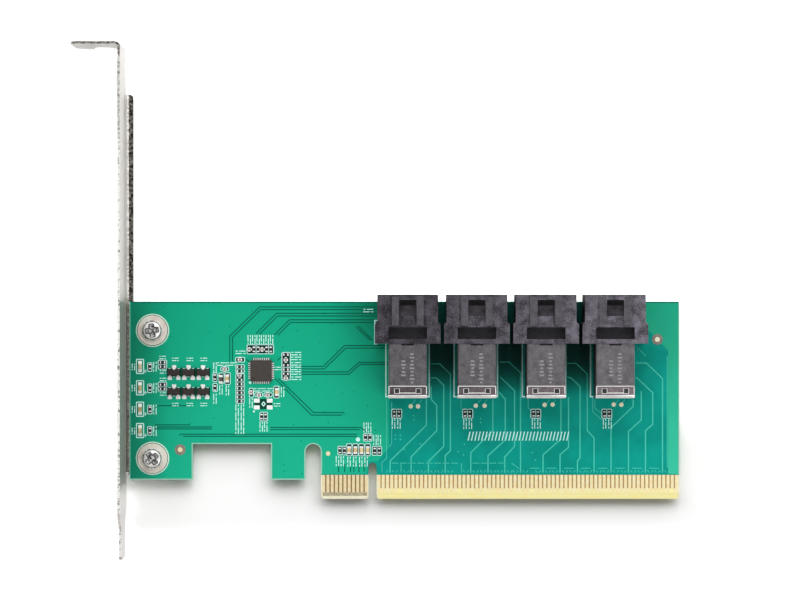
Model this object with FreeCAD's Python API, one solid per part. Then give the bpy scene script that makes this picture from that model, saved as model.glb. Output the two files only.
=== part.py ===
import FreeCAD, Part
import math
import os

# Full-height expansion card with sixteen lanes and four right-angle cable ports.
# It lies on its solder side. X runs along the contact edge away from the bracket, Y from the
# contact edge to the top edge, Z out of the component side. The origin is the middle of the
# key notch, on the contact edge, half way through the board. Sizes are in millimetres.

# Circuit board
BOARD_THICKNESS = 1.57
BOARD_HEIGHT = 46.45
KEY_TO_BRACKET_END = 57.15
KEY_WIDTH = 1.90
KEY_DEPTH = 8.55
SHOULDER_HEIGHT = 4.55
SCREW_LOBE_WIDTH = 14.85
NOTCH_HEIGHT = 12.94
TOOTH_WIDTH = 8.10
RELIEF_WIDTH = 3.65
CONTACT_CORNER_CUT = 0.45
INNER_CORNER_RADIUS = 0.40
BEVEL_HEIGHT = 1.50
BEVEL_ANGLE = 20.0

# Edge contacts
CONTACT_PITCH = 1.00
CONTACT_WIDTH = 0.70
CONTACT_LENGTH = 4.10
LATE_CONTACT_LENGTH = 3.10
CONTACT_THICKNESS = 0.05
CONTACT_ABOVE_BEVEL = 0.08
KEY_TO_CONTACT = 1.50
END_MARGIN = 0.65
CONTACTS_BEFORE_KEY = 11
CONTACTS_AFTER_KEY = 71
LATE_CONTACTS_FRONT = (17, 31, 48, 81)
LATE_CONTACTS_BACK = (1,)

# Mounting bracket
SHEET = 0.60
BRACKET_WIDTH = 18.42
BRACKET_LENGTH = 120.02
BRACKET_RISE = 106.45
BRACKET_GAP = 0.90
BEND_RADIUS = 0.50
TAB_LENGTH = 11.00
TAB_CORNER_RADIUS = 1.50
TAB_SLANT = 2.60
SCREW_NOTCH_WIDTH = 4.42
SCREW_NOTCH_DEPTH = 5.80
SCREW_NOTCH_FROM_PLATE = 4.40
PLATE_CORNER_CUT = 1.60
TONGUE_WIDTH = 10.19
TONGUE_LENGTH = 7.50
TONGUE_TAPER = 3.78
TONGUE_TIP_RADIUS = 1.60
FLANGE_REACH = 1.65
FLANGE_BOTTOM = 6.25
FLANGE_TOP = 95.20
FLANGE_CORNER_RADIUS = 0.80
EAR_RADIUS = 3.90
THREAD_COLLAR_WALL = 0.75
THREAD_COLLAR_HEIGHT = 0.60

# Bracket screws and washers
SCREW_INSET = 5.39
LOWER_SCREW_HEIGHT = 9.58
SCREW_SPACING = 30.09
SCREW_DIAMETER = 3.00
SCREW_HOLE_CLEARANCE = 0.20
THREAD_CLEARANCE = 0.03
SCREW_HEAD_DIAMETER = 5.20
SCREW_HEAD_HEIGHT = 1.75
SCREW_HEAD_RIM = 0.85
SCREW_CROWN_DIAMETER = 3.60
SCREW_PAST_COLLAR = 0.15
RECESS_SPAN = 2.90
RECESS_WIDTH = 0.80
RECESS_DEPTH = 1.15
RECESS_FLOOR_SHARE = 0.55
SCREW_TURNS = (38.0, 8.0)
WASHER_DIAMETER = 7.00
WASHER_THICKNESS = 0.50

# Cable port shroud
PORT_COUNT = 4
PORT_ROW_FROM_FREE_END = 39.85
PORT_GAP = 0.80
PORT_OVERHANG = 1.62
SHROUD_WIDTH = 14.10
SHROUD_LENGTH = 11.37
SHROUD_HEIGHT = 11.40
SHROUD_SIDE_WALL = 1.05
SHROUD_FLOOR = 1.30
SHROUD_ROOF = 1.50
MOUTH_DEPTH = 6.10
MOUTH_LEAD_IN = 0.35
SEAT_STEP = 0.55
COLLAR_OVERHANG = 0.57
COLLAR_LENGTH = 5.00
COLLAR_SHOULDER = 0.45
BOSS_WIDTH = 7.52
BOSS_HEIGHT = 0.45
BOSS_FROM_MOUTH = 0.35
BOSS_END_GAP = 0.35
CHANNEL_WIDTH = 4.00
CHANNEL_DEPTH = 0.80
LATCH_WINDOW_LENGTH = 1.30
LATCH_WINDOW_FROM_MOUTH = 1.24
ROOF_WINDOW_WIDTH = 8.93
ROOF_WINDOW_LENGTH = 2.77
CROSSBAR_LENGTH = 1.04
KEY_RIB_WIDTH = 0.90
KEY_RIB_HEIGHT = 0.40

# Contact block and contacts inside each port
BLOCK_CLEARANCE = 0.05
BLOCK_NOSE = 1.20
BLOCK_NOSE_STEP = 0.80
CARD_SLOT_WIDTH = 9.00
CARD_SLOT_HEIGHT = 1.50
CARD_SLOT_SPACING = 3.40
CARD_SLOT_DEPTH = 4.60
PORT_CONTACT_COUNT = 9
PORT_CONTACT_PITCH = 0.75
PORT_CONTACT_WIDTH = 0.40
PORT_CONTACT_THICKNESS = 0.20
PORT_CONTACT_SETBACK = 0.60

# Rear cover and stamped rear clip of each port
COVER_WIDTH = 8.90
COVER_LENGTH = 12.46
COVER_HEIGHT = 11.20
COVER_EDGE_CUT = 0.30
COVER_SLIT_WIDTH = 2.93
COVER_SLIT_LENGTH = 0.40
COVER_SLIT_DEPTH = 0.60
CLIP_SHEET = 0.30
CLIP_TOP_LENGTH = 3.01
CLIP_SIDE_MARGIN = 0.06
CLIP_BEND_RADIUS = 0.90
CLIP_WINDOW = 1.06
CLIP_WINDOW_SPREAD = 5.00
CLIP_WINDOW_FROM_FRONT = 0.70
CLIP_FOOT_GAP = 0.40
NUB_CLEARANCE = 0.08
NUB_HEIGHT = 0.14

# Leadless chip
CHIP_SIZE = 5.00
CHIP_HEIGHT = 0.85
CHIP_FROM_END = 30.95
CHIP_LEVEL = 30.16
CHIP_PADS_PER_SIDE = 8
CHIP_PAD_PITCH = 0.50
CHIP_PAD_WIDTH = 0.26
CHIP_PAD_REACH = 0.42
CHIP_PAD_HEIGHT = 0.12

# Three-lead transistors
TRANSISTOR_LENGTH = 2.95
TRANSISTOR_WIDTH = 1.45
TRANSISTOR_HEIGHT = 1.00
TRANSISTOR_DRAFT = 0.12
TRANSISTOR_GAP = 0.45
TRANSISTOR_COLUMNS = 3
TRANSISTOR_ROWS = 2
TRANSISTOR_ROW_SPACING = 4.51
TRANSISTOR_FROM_END = 10.45
TRANSISTOR_LEVEL = 25.25
LEAD_WIDTH = 0.45
LEAD_SHEET = 0.14
LEAD_REACH = 0.55
LEAD_FOOT = 0.32
LEAD_SPACING = 1.95

# Status lamps
LAMP_COUNT = 4
LAMP_PITCH = 5.03
LAMP_FROM_END = 2.45
LAMP_LEVEL = 16.10
LAMP_LENGTH = 1.60
LAMP_WIDTH = 0.80
LAMP_BASE_HEIGHT = 0.25
LAMP_LENS_LENGTH = 1.10
LAMP_LENS_HEIGHT = 0.40
LAMP_LENS_DRAFT = 0.08

# Two-ended chip parts: length, width, height and end cap of each size
RESISTOR = (1.00, 0.50, 0.34, 0.00)
SMALL_CAPACITOR = (1.00, 0.52, 0.50, 0.25)
LARGE_CAPACITOR = (1.60, 0.80, 0.75, 0.35)
BEAD = (1.60, 0.80, 0.70, 0.30)
CAP_PROUD = 0.02
ROW_PITCH = 1.01
PAIR_PITCH = 1.10

# Small parts beside the lamps and transistors, from the bracket end and the contact edge
LAMP_RESISTOR_FROM_END = 4.80
DRIVER_FROM_END = 7.75
DRIVER_LEVELS = (31.13, 25.90)
GATE_FROM_END = 20.05
GATE_LEVEL = 26.10
GATE_SPACING = 2.60
BEAD_FROM_END = 21.45
BEAD_LEVEL = 28.20
FILTER_FROM_END = 22.95
FILTER_LEVEL = 28.35
FILTER_TOP_FROM_END = 22.35
FILTER_TOP_LEVEL = 30.56

# Small parts round the chip, from the middle of the chip
LEFT_COLUMN = -5.10
LEFT_UPPER = -0.08
LEFT_LOWER = -7.17
LEFT_TOP_CAPACITOR = (-5.00, 2.64)
LEFT_CAPACITOR_LEVEL = -1.09
UPPER_ROW = 5.04
UPPER_RESISTORS = (-1.70, 1.25)
UPPER_CAPACITORS = (-2.80, 0.21)
RIGHT_COLUMN = 5.80
RIGHT_TOP = 3.82
RIGHT_LOWER = -0.70
RIGHT_CAPACITORS = (2.56, -1.71)
LOWER_PAIR = (0.10, -10.76)
LOWER_PAIR_PITCH = 0.95
LOWER_LEFT_CAPACITOR = (-2.36, -5.06)
LOWER_CAPACITORS = (-0.55, -5.69)
LOWER_CAPACITOR_PITCH = 2.05
LOWER_RIGHT_CAPACITOR = (3.70, -4.98)

# Small parts beside the key notch, from its middle and the contact edge
KEY_PAIRS = ((-7.70, 11.40), (0.50, 11.40), (-1.70, 14.50))
KEY_CAPACITORS = (-5.50, 11.50)
KEY_CAPACITOR_COUNT = 4
KEY_CAPACITOR_PITCH = 1.45

# A pair of resistors behind each port, from the middle and the rear of its cover
PORT_PAIR_SHIFTS = (-3.14, -2.53, -2.47, -1.81)
PORT_PAIR_BEHIND_COVER = 4.19

# Levels and edges that several pieces share
board_top = BOARD_THICKNESS / 2
board_back = -board_top
board_left = -KEY_TO_BRACKET_END
contact_left = -KEY_TO_CONTACT - (CONTACTS_BEFORE_KEY - 1) * CONTACT_PITCH - END_MARGIN
board_right = KEY_TO_CONTACT + (CONTACTS_AFTER_KEY - 1) * CONTACT_PITCH + END_MARGIN
relief_left = contact_left - RELIEF_WIDTH
notch_left = board_left + SCREW_LOBE_WIDTH
notch_right = relief_left - TOOTH_WIDTH
screw_x = board_left + SCREW_INSET
screw_levels = (LOWER_SCREW_HEIGHT, LOWER_SCREW_HEIGHT + SCREW_SPACING)
screw_hole_radius = SCREW_DIAMETER / 2 + SCREW_HOLE_CLEARANCE
plate_inner = board_left - BRACKET_GAP
plate_outer = plate_inner - SHEET
bracket_back = board_back - SHEET
bracket_front = bracket_back + BRACKET_WIDTH
port_row_middle = board_right - PORT_ROW_FROM_FREE_END
port_pitch = SHROUD_WIDTH + 2 * COLLAR_OVERHANG + PORT_GAP
port_mouth = BOARD_HEIGHT + PORT_OVERHANG
shroud_rear = port_mouth - SHROUD_LENGTH
cover_rear = shroud_rear - COVER_LENGTH
seat_front = port_mouth - MOUTH_DEPTH
cavity_half = SHROUD_WIDTH / 2 - SHROUD_SIDE_WALL
cavity_floor = board_top + SHROUD_FLOOR
cavity_roof = board_top + SHROUD_HEIGHT - SHROUD_ROOF
seat_half = cavity_half - SEAT_STEP
seat_floor = cavity_floor + SEAT_STEP
seat_roof = cavity_roof - SEAT_STEP
block_front = seat_front + BLOCK_NOSE
slot_middle = (seat_floor + seat_roof) / 2
slot_levels = (slot_middle - CARD_SLOT_SPACING / 2, slot_middle + CARD_SLOT_SPACING / 2)
clip_top = board_top + COVER_HEIGHT
clip_front = cover_rear - CLIP_SHEET + CLIP_TOP_LENGTH
nub_middle = clip_front - CLIP_WINDOW_FROM_FRONT - CLIP_WINDOW / 2
transistor_pitch = TRANSISTOR_LENGTH + TRANSISTOR_GAP
chip_x = board_left + CHIP_FROM_END


def box(x0, x1, y0, y1, z0, z1):
    """Block between two corners."""
    return Part.makeBox(x1 - x0, y1 - y0, z1 - z0, FreeCAD.Vector(x0, y0, z0))


def centred_box(x, y, width, length, z0, z1):
    """Block centred on a point of the board."""
    return box(x - width / 2, x + width / 2, y - length / 2, y + length / 2, z0, z1)


def rod(x, y, radius, z0, z1):
    """Upright round bar."""
    return Part.makeCylinder(radius, z1 - z0, FreeCAD.Vector(x, y, z0))


def outline(corners):
    """Flat face from (x, y, radius) corners, where each radius becomes an arc."""
    points = [FreeCAD.Vector(x, y, 0) for x, y, radius in corners]
    edges = []
    last = None
    first = None
    for i, (x, y, radius) in enumerate(corners):
        corner = points[i]
        before = (points[i - 1] - corner).normalize()
        after = (points[(i + 1) % len(points)] - corner).normalize()
        half = before.getAngle(after) / 2
        reach = radius / math.tan(half)
        start = corner + before * reach
        end = corner + after * reach
        if last is None:
            first = start
        elif last.distanceToPoint(start) > 1e-6:
            edges.append(Part.makeLine(last, start))
        if radius > 0:
            middle = (before + after).normalize()
            crown = corner + middle * (radius / math.sin(half) - radius)
            edges.append(Part.Arc(start, crown, end).toShape())
        last = end
    if last.distanceToPoint(first) > 1e-6:
        edges.append(Part.makeLine(last, first))
    return Part.Face(Part.Wire(edges))


def slab(corners, z0, z1):
    """Upright prism over a rounded outline."""
    solid = outline(corners).extrude(FreeCAD.Vector(0, 0, z1 - z0))
    solid.translate(FreeCAD.Vector(0, 0, z0))
    return solid


def along_x(corners, x0, x1):
    """Prism along X over a rounded outline given as (y, z, radius)."""
    solid = slab(corners, 0, x1 - x0)
    solid.rotate(FreeCAD.Vector(), FreeCAD.Vector(1, 1, 1), 120)
    solid.translate(FreeCAD.Vector(x0, 0, 0))
    return solid


def between(lower, upper):
    """Solid with flat sides between two loops that have the same number of corners."""
    faces = []
    for loop in (lower, upper):
        faces.append(Part.Face(Part.makePolygon(loop + loop[:1])))
    for i in range(len(lower)):
        side = [lower[i - 1], lower[i], upper[i], upper[i - 1], lower[i - 1]]
        faces.append(Part.Face(Part.makePolygon(side)))
    return Part.Solid(Part.Shell(faces))


def joined(first, *others):
    """One solid from pieces that meet."""
    return first.fuse(list(others)).removeSplitter()


def save(node, *solids):
    """Write one node as its own file."""
    shape = solids[0] if len(solids) == 1 else Part.makeCompound(list(solids))
    shape.exportStep(os.path.join("parts", node + ".step"))


def port_x(number):
    """Middle of a cable port, counted from the bracket."""
    return port_row_middle + (number - (PORT_COUNT - 1) / 2) * port_pitch


def contact_x(number):
    """Middle of a numbered edge contact, counted from the bracket."""
    if number <= CONTACTS_BEFORE_KEY:
        return -KEY_TO_CONTACT - (CONTACTS_BEFORE_KEY - number) * CONTACT_PITCH
    return KEY_TO_CONTACT + (number - CONTACTS_BEFORE_KEY - 1) * CONTACT_PITCH


def circuit_board():
    """Board with its contact edge, notches, bevels and holes."""
    c = CONTACT_CORNER_CUT
    q = INNER_CORNER_RADIUS
    corners = (
        (board_left, BOARD_HEIGHT, 0),
        (board_left, SHOULDER_HEIGHT, 0),
        (notch_left, SHOULDER_HEIGHT, 0),
        (notch_left, NOTCH_HEIGHT, q),
        (notch_right, NOTCH_HEIGHT, q),
        (notch_right, SHOULDER_HEIGHT, 0),
        (relief_left, SHOULDER_HEIGHT, 0),
        (relief_left, NOTCH_HEIGHT, RELIEF_WIDTH / 2),
        (contact_left, NOTCH_HEIGHT, RELIEF_WIDTH / 2),
        (contact_left, c, 0),
        (contact_left + c, 0, 0),
        (-KEY_WIDTH / 2 - c, 0, 0),
        (-KEY_WIDTH / 2, c, 0),
        (-KEY_WIDTH / 2, KEY_DEPTH, KEY_WIDTH / 2),
        (KEY_WIDTH / 2, KEY_DEPTH, KEY_WIDTH / 2),
        (KEY_WIDTH / 2, c, 0),
        (KEY_WIDTH / 2 + c, 0, 0),
        (board_right - c, 0, 0),
        (board_right, c, 0),
        (board_right, BOARD_HEIGHT, 0),
    )
    board = slab(corners, board_back, board_top)
    slope = math.tan(math.radians(BEVEL_ANGLE))
    run = BEVEL_HEIGHT + 1
    wedge = (
        (BEVEL_HEIGHT, board_top, 0),
        (BEVEL_HEIGHT, board_top + 1, 0),
        (BEVEL_HEIGHT - run, board_top + 1, 0),
        (BEVEL_HEIGHT - run, board_top - run * slope, 0),
    )
    front_cut = along_x(wedge, contact_left - 1, board_right + 1)
    back_cut = front_cut.mirror(FreeCAD.Vector(), FreeCAD.Vector(0, 0, 1))
    holes = [rod(screw_x, y, screw_hole_radius, board_back, board_top) for y in screw_levels]
    return board.cut([front_cut, back_cut] + holes)


def edge_contacts(z0, z1, late):
    """Row of contact pads, where the late ones stop short of the edge."""
    foot = BEVEL_HEIGHT + CONTACT_ABOVE_BEVEL
    head = foot + CONTACT_LENGTH
    pads = []
    for number in range(1, CONTACTS_BEFORE_KEY + CONTACTS_AFTER_KEY + 1):
        length = LATE_CONTACT_LENGTH if number in late else CONTACT_LENGTH
        x = contact_x(number)
        half = CONTACT_WIDTH / 2
        pads.append(box(x - half, x + half, head - length, head, z0, z1))
    return pads


def mounting_bracket():
    """Bent sheet: plate and tongue, outward tab, rear flange, two threaded ears."""
    tip = BRACKET_RISE - BRACKET_LENGTH
    middle = (bracket_back + bracket_front) / 2
    tongue_back = middle - TONGUE_WIDTH / 2
    tongue_front = middle + TONGUE_WIDTH / 2
    neck = tip + TONGUE_LENGTH
    bend_y = BRACKET_RISE - SHEET - BEND_RADIUS
    bend_x = plate_outer - BEND_RADIUS
    plate = along_x(
        (
            (tip, tongue_back, TONGUE_TIP_RADIUS),
            (neck, tongue_back, 0),
            (neck + TONGUE_TAPER, bracket_back, 0),
            (bend_y - PLATE_CORNER_CUT, bracket_back, 0),
            (bend_y, bracket_back + PLATE_CORNER_CUT, 0),
            (bend_y, bracket_front, 0),
            (neck + TONGUE_TAPER, bracket_front, 0),
            (neck, tongue_front, 0),
            (tip, tongue_front, TONGUE_TIP_RADIUS),
        ),
        plate_outer,
        plate_inner,
    )
    # Tab bent outward, with the open notch for the case screw
    tab_back = bracket_back + PLATE_CORNER_CUT
    tab_end = plate_outer - TAB_LENGTH
    notch_middle = plate_outer - SCREW_NOTCH_FROM_PLATE
    notch_half = SCREW_NOTCH_WIDTH / 2
    notch_end = bracket_back + SCREW_NOTCH_DEPTH
    tab_outline = (
        (bend_x, tab_back, 0),
        (bend_x, bracket_front, 0),
        (tab_end, bracket_front, TAB_CORNER_RADIUS),
        (tab_end, bracket_back + TAB_SLANT, 0),
        (tab_end + TAB_SLANT, bracket_back, 0),
        (notch_middle - notch_half, bracket_back, 0),
        (notch_middle - notch_half, notch_end, notch_half),
        (notch_middle + notch_half, notch_end, notch_half),
        (notch_middle + notch_half, tab_back, 0),
    )
    tab = slab(tab_outline, 0, SHEET)
    tab.rotate(FreeCAD.Vector(), FreeCAD.Vector(1, 0, 0), 90)
    tab.translate(FreeCAD.Vector(0, BRACKET_RISE, 0))
    span = bracket_front - tab_back
    bend_foot = FreeCAD.Vector(bend_x, bend_y, tab_back)
    tab_bend = Part.makeCylinder(BEND_RADIUS + SHEET, span, bend_foot)
    tab_bend = tab_bend.cut(Part.makeCylinder(BEND_RADIUS, span, bend_foot))
    quarter = box(bend_x, plate_inner, bend_y, BRACKET_RISE, tab_back, bracket_front)
    tab_bend = tab_bend.common(quarter)
    # Flange bent inward along the rear edge, against the back of the board
    rise = SHEET + BEND_RADIUS
    flange_end = plate_inner + FLANGE_REACH
    axis_x = plate_inner + BEND_RADIUS
    flange_length = FLANGE_TOP - FLANGE_BOTTOM
    along_y = FreeCAD.Vector(0, 1, 0)
    axis_foot = FreeCAD.Vector(axis_x, FLANGE_BOTTOM, bracket_back + rise)
    flange_bend = Part.makeCylinder(rise, flange_length, axis_foot, along_y)
    flange_bend = flange_bend.cut(Part.makeCylinder(BEND_RADIUS, flange_length, axis_foot, along_y))
    corner = box(plate_outer, axis_x, FLANGE_BOTTOM, FLANGE_TOP, bracket_back, bracket_back + rise)
    plate = plate.cut(corner)
    flange_bend = flange_bend.common(corner)
    flange = slab(
        (
            (axis_x, FLANGE_BOTTOM, 0),
            (flange_end, FLANGE_BOTTOM, FLANGE_CORNER_RADIUS),
            (flange_end, FLANGE_TOP, FLANGE_CORNER_RADIUS),
            (axis_x, FLANGE_TOP, 0),
        ),
        bracket_back,
        board_back,
    )
    # Ears with a drawn collar that takes the screw thread
    bore = SCREW_DIAMETER / 2 + THREAD_CLEARANCE
    collar_foot = bracket_back - THREAD_COLLAR_HEIGHT
    ears = []
    bores = []
    for y in screw_levels:
        ears.append(box(axis_x, screw_x, y - EAR_RADIUS, y + EAR_RADIUS, bracket_back, board_back))
        ears.append(rod(screw_x, y, EAR_RADIUS, bracket_back, board_back))
        ears.append(rod(screw_x, y, bore + THREAD_COLLAR_WALL, collar_foot, board_back))
        bores.append(rod(screw_x, y, bore, collar_foot, board_back))
    return joined(plate, tab_bend, tab, flange_bend, flange, *ears).cut(bores)


def cross_outline(span, width, z):
    """Corners of a screw recess at one level."""
    a = span / 2
    b = width / 2
    arm = ((a, -b), (a, b), (b, b))
    points = []
    for turn in range(4):
        c = round(math.cos(turn * math.pi / 2))
        s = round(math.sin(turn * math.pi / 2))
        points += [FreeCAD.Vector(x * c - y * s, x * s + y * c, z) for x, y in arm]
    return points


def bracket_screw(y, turn):
    """Pan head screw with a cross recess, seated on its washer."""
    seat = board_top + WASHER_THICKNESS
    point = bracket_back - THREAD_COLLAR_HEIGHT - SCREW_PAST_COLLAR
    head = SCREW_HEAD_DIAMETER / 2
    shank = SCREW_DIAMETER / 2
    crown = seat + SCREW_HEAD_HEIGHT
    rim = seat + SCREW_HEAD_RIM
    stations = (
        (0, crown),
        (0, point),
        (shank, point),
        (shank, seat),
        (head, seat),
        (head, rim),
        (SCREW_CROWN_DIAMETER / 2, crown),
        (0, crown),
    )
    profile = Part.Face(Part.makePolygon([FreeCAD.Vector(x, 0, z) for x, z in stations]))
    screw = profile.revolve(FreeCAD.Vector(), FreeCAD.Vector(0, 0, 1), 360)
    floor = crown - RECESS_DEPTH
    mouth = cross_outline(RECESS_SPAN, RECESS_WIDTH, crown)
    root = cross_outline(RECESS_SPAN * RECESS_FLOOR_SHARE, RECESS_WIDTH, floor)
    screw = screw.cut(between(root, mouth))
    screw.rotate(FreeCAD.Vector(), FreeCAD.Vector(0, 0, 1), turn)
    screw.translate(FreeCAD.Vector(screw_x, y, 0))
    return screw


def washer(y):
    """Flat ring under a screw head."""
    top = board_top + WASHER_THICKNESS
    ring = rod(screw_x, y, WASHER_DIAMETER / 2, board_top, top)
    return ring.cut(rod(screw_x, y, screw_hole_radius, board_top, top))


def port_shroud(x):
    """Moulded box that takes the cable plug: collar, latch boss, windows and mouth."""
    half = SHROUD_WIDTH / 2
    wide = half + COLLAR_OVERHANG
    collar_front = shroud_rear + COLLAR_LENGTH
    top = board_top + SHROUD_HEIGHT
    plan = (
        (x - half, port_mouth, 0),
        (x - half, collar_front, 0),
        (x - wide, collar_front - COLLAR_SHOULDER, 0),
        (x - wide, shroud_rear, 0),
        (x + wide, shroud_rear, 0),
        (x + wide, collar_front - COLLAR_SHOULDER, 0),
        (x + half, collar_front, 0),
        (x + half, port_mouth, 0),
    )
    body = slab(plan, board_top, top)
    # Raised boss on the roof, split by the latch channel
    window_front = shroud_rear + CROSSBAR_LENGTH + ROOF_WINDOW_LENGTH
    boss_rear = window_front + BOSS_END_GAP
    boss_front = port_mouth - BOSS_FROM_MOUTH
    boss_half = BOSS_WIDTH / 2
    boss = box(x - boss_half, x + boss_half, boss_rear, boss_front, top, top + BOSS_HEIGHT)
    latch_front = port_mouth - LATCH_WINDOW_FROM_MOUTH
    latch_rear = latch_front - LATCH_WINDOW_LENGTH
    crest = top + BOSS_HEIGHT
    ramp = (
        (boss_rear, crest, 0),
        (boss_rear, top, 0),
        (latch_rear, crest - CHANNEL_DEPTH, 0),
        (latch_front, crest - CHANNEL_DEPTH, 0),
        (latch_front, crest, 0),
    )
    channel_half = CHANNEL_WIDTH / 2
    channel = along_x(ramp, x - channel_half, x + channel_half)
    latch = box(x - channel_half, x + channel_half, latch_rear, latch_front, cavity_roof, crest)
    # Mouth for the plug, then the narrower seat of the contact block
    mouth = box(x - cavity_half, x + cavity_half, seat_front, port_mouth, cavity_floor, cavity_roof)
    seat = box(x - seat_half, x + seat_half, shroud_rear, seat_front, seat_floor, seat_roof)
    lead = MOUTH_LEAD_IN
    rim = (
        (x - cavity_half - lead, x + cavity_half + lead, cavity_floor - lead, cavity_roof + lead),
        (x - cavity_half, x + cavity_half, cavity_floor, cavity_roof),
    )
    frames = []
    for (x0, x1, z0, z1), y in zip(rim, (port_mouth, port_mouth - lead)):
        loop = ((x0, z0), (x1, z0), (x1, z1), (x0, z1))
        frames.append([FreeCAD.Vector(a, y, b) for a, b in loop])
    lead_in = between(*frames)
    roof_half = ROOF_WINDOW_WIDTH / 2
    window_rear = shroud_rear + CROSSBAR_LENGTH
    window = box(x - roof_half, x + roof_half, window_rear, window_front, seat_roof, top)
    shroud = joined(body, boss).cut([channel, latch, mouth, seat, lead_in, window])
    # Keying rib on the mouth floor
    rib_half = KEY_RIB_WIDTH / 2
    rib_top = cavity_floor + KEY_RIB_HEIGHT
    rib = box(x - rib_half, x + rib_half, seat_front, port_mouth - lead, cavity_floor, rib_top)
    return joined(shroud, rib)


def contact_block(x):
    """Insert in the shroud with two slots for the plug's cards."""
    gap = BLOCK_CLEARANCE
    step = BLOCK_NOSE_STEP
    half = seat_half - gap
    low = seat_floor + gap
    high = seat_roof - gap
    block = box(x - half, x + half, shroud_rear, seat_front, low, high)
    nose_half = half - step
    nose = box(x - nose_half, x + nose_half, seat_front, block_front, low + step, high - step)
    slot_half = CARD_SLOT_WIDTH / 2
    slot_end = block_front - CARD_SLOT_DEPTH
    slots = []
    for z in slot_levels:
        z0 = z - CARD_SLOT_HEIGHT / 2
        z1 = z + CARD_SLOT_HEIGHT / 2
        slots.append(box(x - slot_half, x + slot_half, slot_end, block_front, z0, z1))
    return joined(block, nose).cut(slots)


def port_contacts(x):
    """Spring contacts above and below each card slot."""
    first = x - (PORT_CONTACT_COUNT - 1) / 2 * PORT_CONTACT_PITCH
    half = PORT_CONTACT_WIDTH / 2
    y0 = block_front - CARD_SLOT_DEPTH
    y1 = block_front - PORT_CONTACT_SETBACK
    strips = []
    for z in slot_levels:
        low = z - CARD_SLOT_HEIGHT / 2
        high = z + CARD_SLOT_HEIGHT / 2 - PORT_CONTACT_THICKNESS
        for foot in (low, high):
            for i in range(PORT_CONTACT_COUNT):
                a = first + i * PORT_CONTACT_PITCH
                strips.append(box(a - half, a + half, y0, y1, foot, foot + PORT_CONTACT_THICKNESS))
    return strips


def nub_points(x):
    """Middles of the two nubs that lock the rear clip."""
    return (x - CLIP_WINDOW_SPREAD / 2, x + CLIP_WINDOW_SPREAD / 2)


def rear_cover(x):
    """Housing over the contact wafers, with a lowered seat and two nubs for the clip."""
    half = COVER_WIDTH / 2
    cut = COVER_EDGE_CUT
    top = board_top + COVER_HEIGHT
    shape = (
        (x - half, board_top, 0),
        (x + half, board_top, 0),
        (x + half, top - cut, 0),
        (x + half - cut, top, 0),
        (x - half + cut, top, 0),
        (x - half, top - cut, 0),
    )
    body = slab(shape, 0, COVER_LENGTH)
    body.rotate(FreeCAD.Vector(), FreeCAD.Vector(1, 0, 0), 90)
    body.translate(FreeCAD.Vector(0, shroud_rear, 0))
    clip_seat = box(x - half, x + half, cover_rear, clip_front, top - CLIP_SHEET, top)
    slit_half = COVER_SLIT_WIDTH / 2
    slit_rear = shroud_rear - COVER_SLIT_LENGTH
    slit = box(x - slit_half, x + slit_half, slit_rear, shroud_rear, top - COVER_SLIT_DEPTH, top)
    nub = CLIP_WINDOW - 2 * NUB_CLEARANCE
    seat = top - CLIP_SHEET
    nub_top = seat + NUB_HEIGHT
    nubs = [centred_box(a, nub_middle, nub, nub, seat, nub_top) for a in nub_points(x)]
    # Rear edge rounded to suit the bend of the clip
    bend = CLIP_BEND_RADIUS
    edge = box(x - half, x + half, cover_rear, cover_rear + bend, seat - bend, seat)
    axis = FreeCAD.Vector(x - half, cover_rear + bend, seat - bend)
    edge = edge.cut(Part.makeCylinder(bend, COVER_WIDTH, axis, FreeCAD.Vector(1, 0, 0)))
    return joined(body.cut([clip_seat, slit, edge]), *nubs)


def rear_clip(x):
    """Stamped sheet folded over the rear of the cover, with two windows on its nubs."""
    half = COVER_WIDTH / 2 + CLIP_SIDE_MARGIN
    outer = CLIP_BEND_RADIUS + CLIP_SHEET
    rear = cover_rear - CLIP_SHEET
    foot = board_top + CLIP_FOOT_GAP
    section = (
        (rear, foot, 0),
        (rear, clip_top, outer),
        (clip_front, clip_top, 0),
        (clip_front, clip_top - CLIP_SHEET, 0),
        (cover_rear, clip_top - CLIP_SHEET, CLIP_BEND_RADIUS),
        (cover_rear, foot, 0),
    )
    sheet = along_x(section, x - half, x + half)
    low = clip_top - CLIP_SHEET
    windows = []
    for a in nub_points(x):
        windows.append(centred_box(a, nub_middle, CLIP_WINDOW, CLIP_WINDOW, low, clip_top))
    return sheet.cut(windows)


def chip_body():
    """Square moulded package."""
    return centred_box(chip_x, CHIP_LEVEL, CHIP_SIZE, CHIP_SIZE, board_top, board_top + CHIP_HEIGHT)


def chip_terminals():
    """Solder terminals that show along the four sides of the chip."""
    first = -(CHIP_PADS_PER_SIDE - 1) / 2 * CHIP_PAD_PITCH
    top = board_top + CHIP_PAD_HEIGHT
    out = CHIP_SIZE / 2 + CHIP_PAD_REACH / 2
    pads = []
    for i in range(CHIP_PADS_PER_SIDE):
        a = first + i * CHIP_PAD_PITCH
        for side in (-out, out):
            across = (chip_x + side, CHIP_LEVEL + a, CHIP_PAD_REACH, CHIP_PAD_WIDTH)
            upright = (chip_x + a, CHIP_LEVEL + side, CHIP_PAD_WIDTH, CHIP_PAD_REACH)
            pads.append(centred_box(*across, board_top, top))
            pads.append(centred_box(*upright, board_top, top))
    return pads


def tapered_block(x, y, width, length, z0, z1, draft):
    """Moulded block whose top is smaller than its foot."""
    loops = []
    for z, shrink in ((z0, 0), (z1, draft)):
        a = width / 2 - shrink
        b = length / 2 - shrink
        corners = ((x - a, y - b), (x + a, y - b), (x + a, y + b), (x - a, y + b))
        loops.append([FreeCAD.Vector(u, v, z) for u, v in corners])
    return between(*loops)


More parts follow.
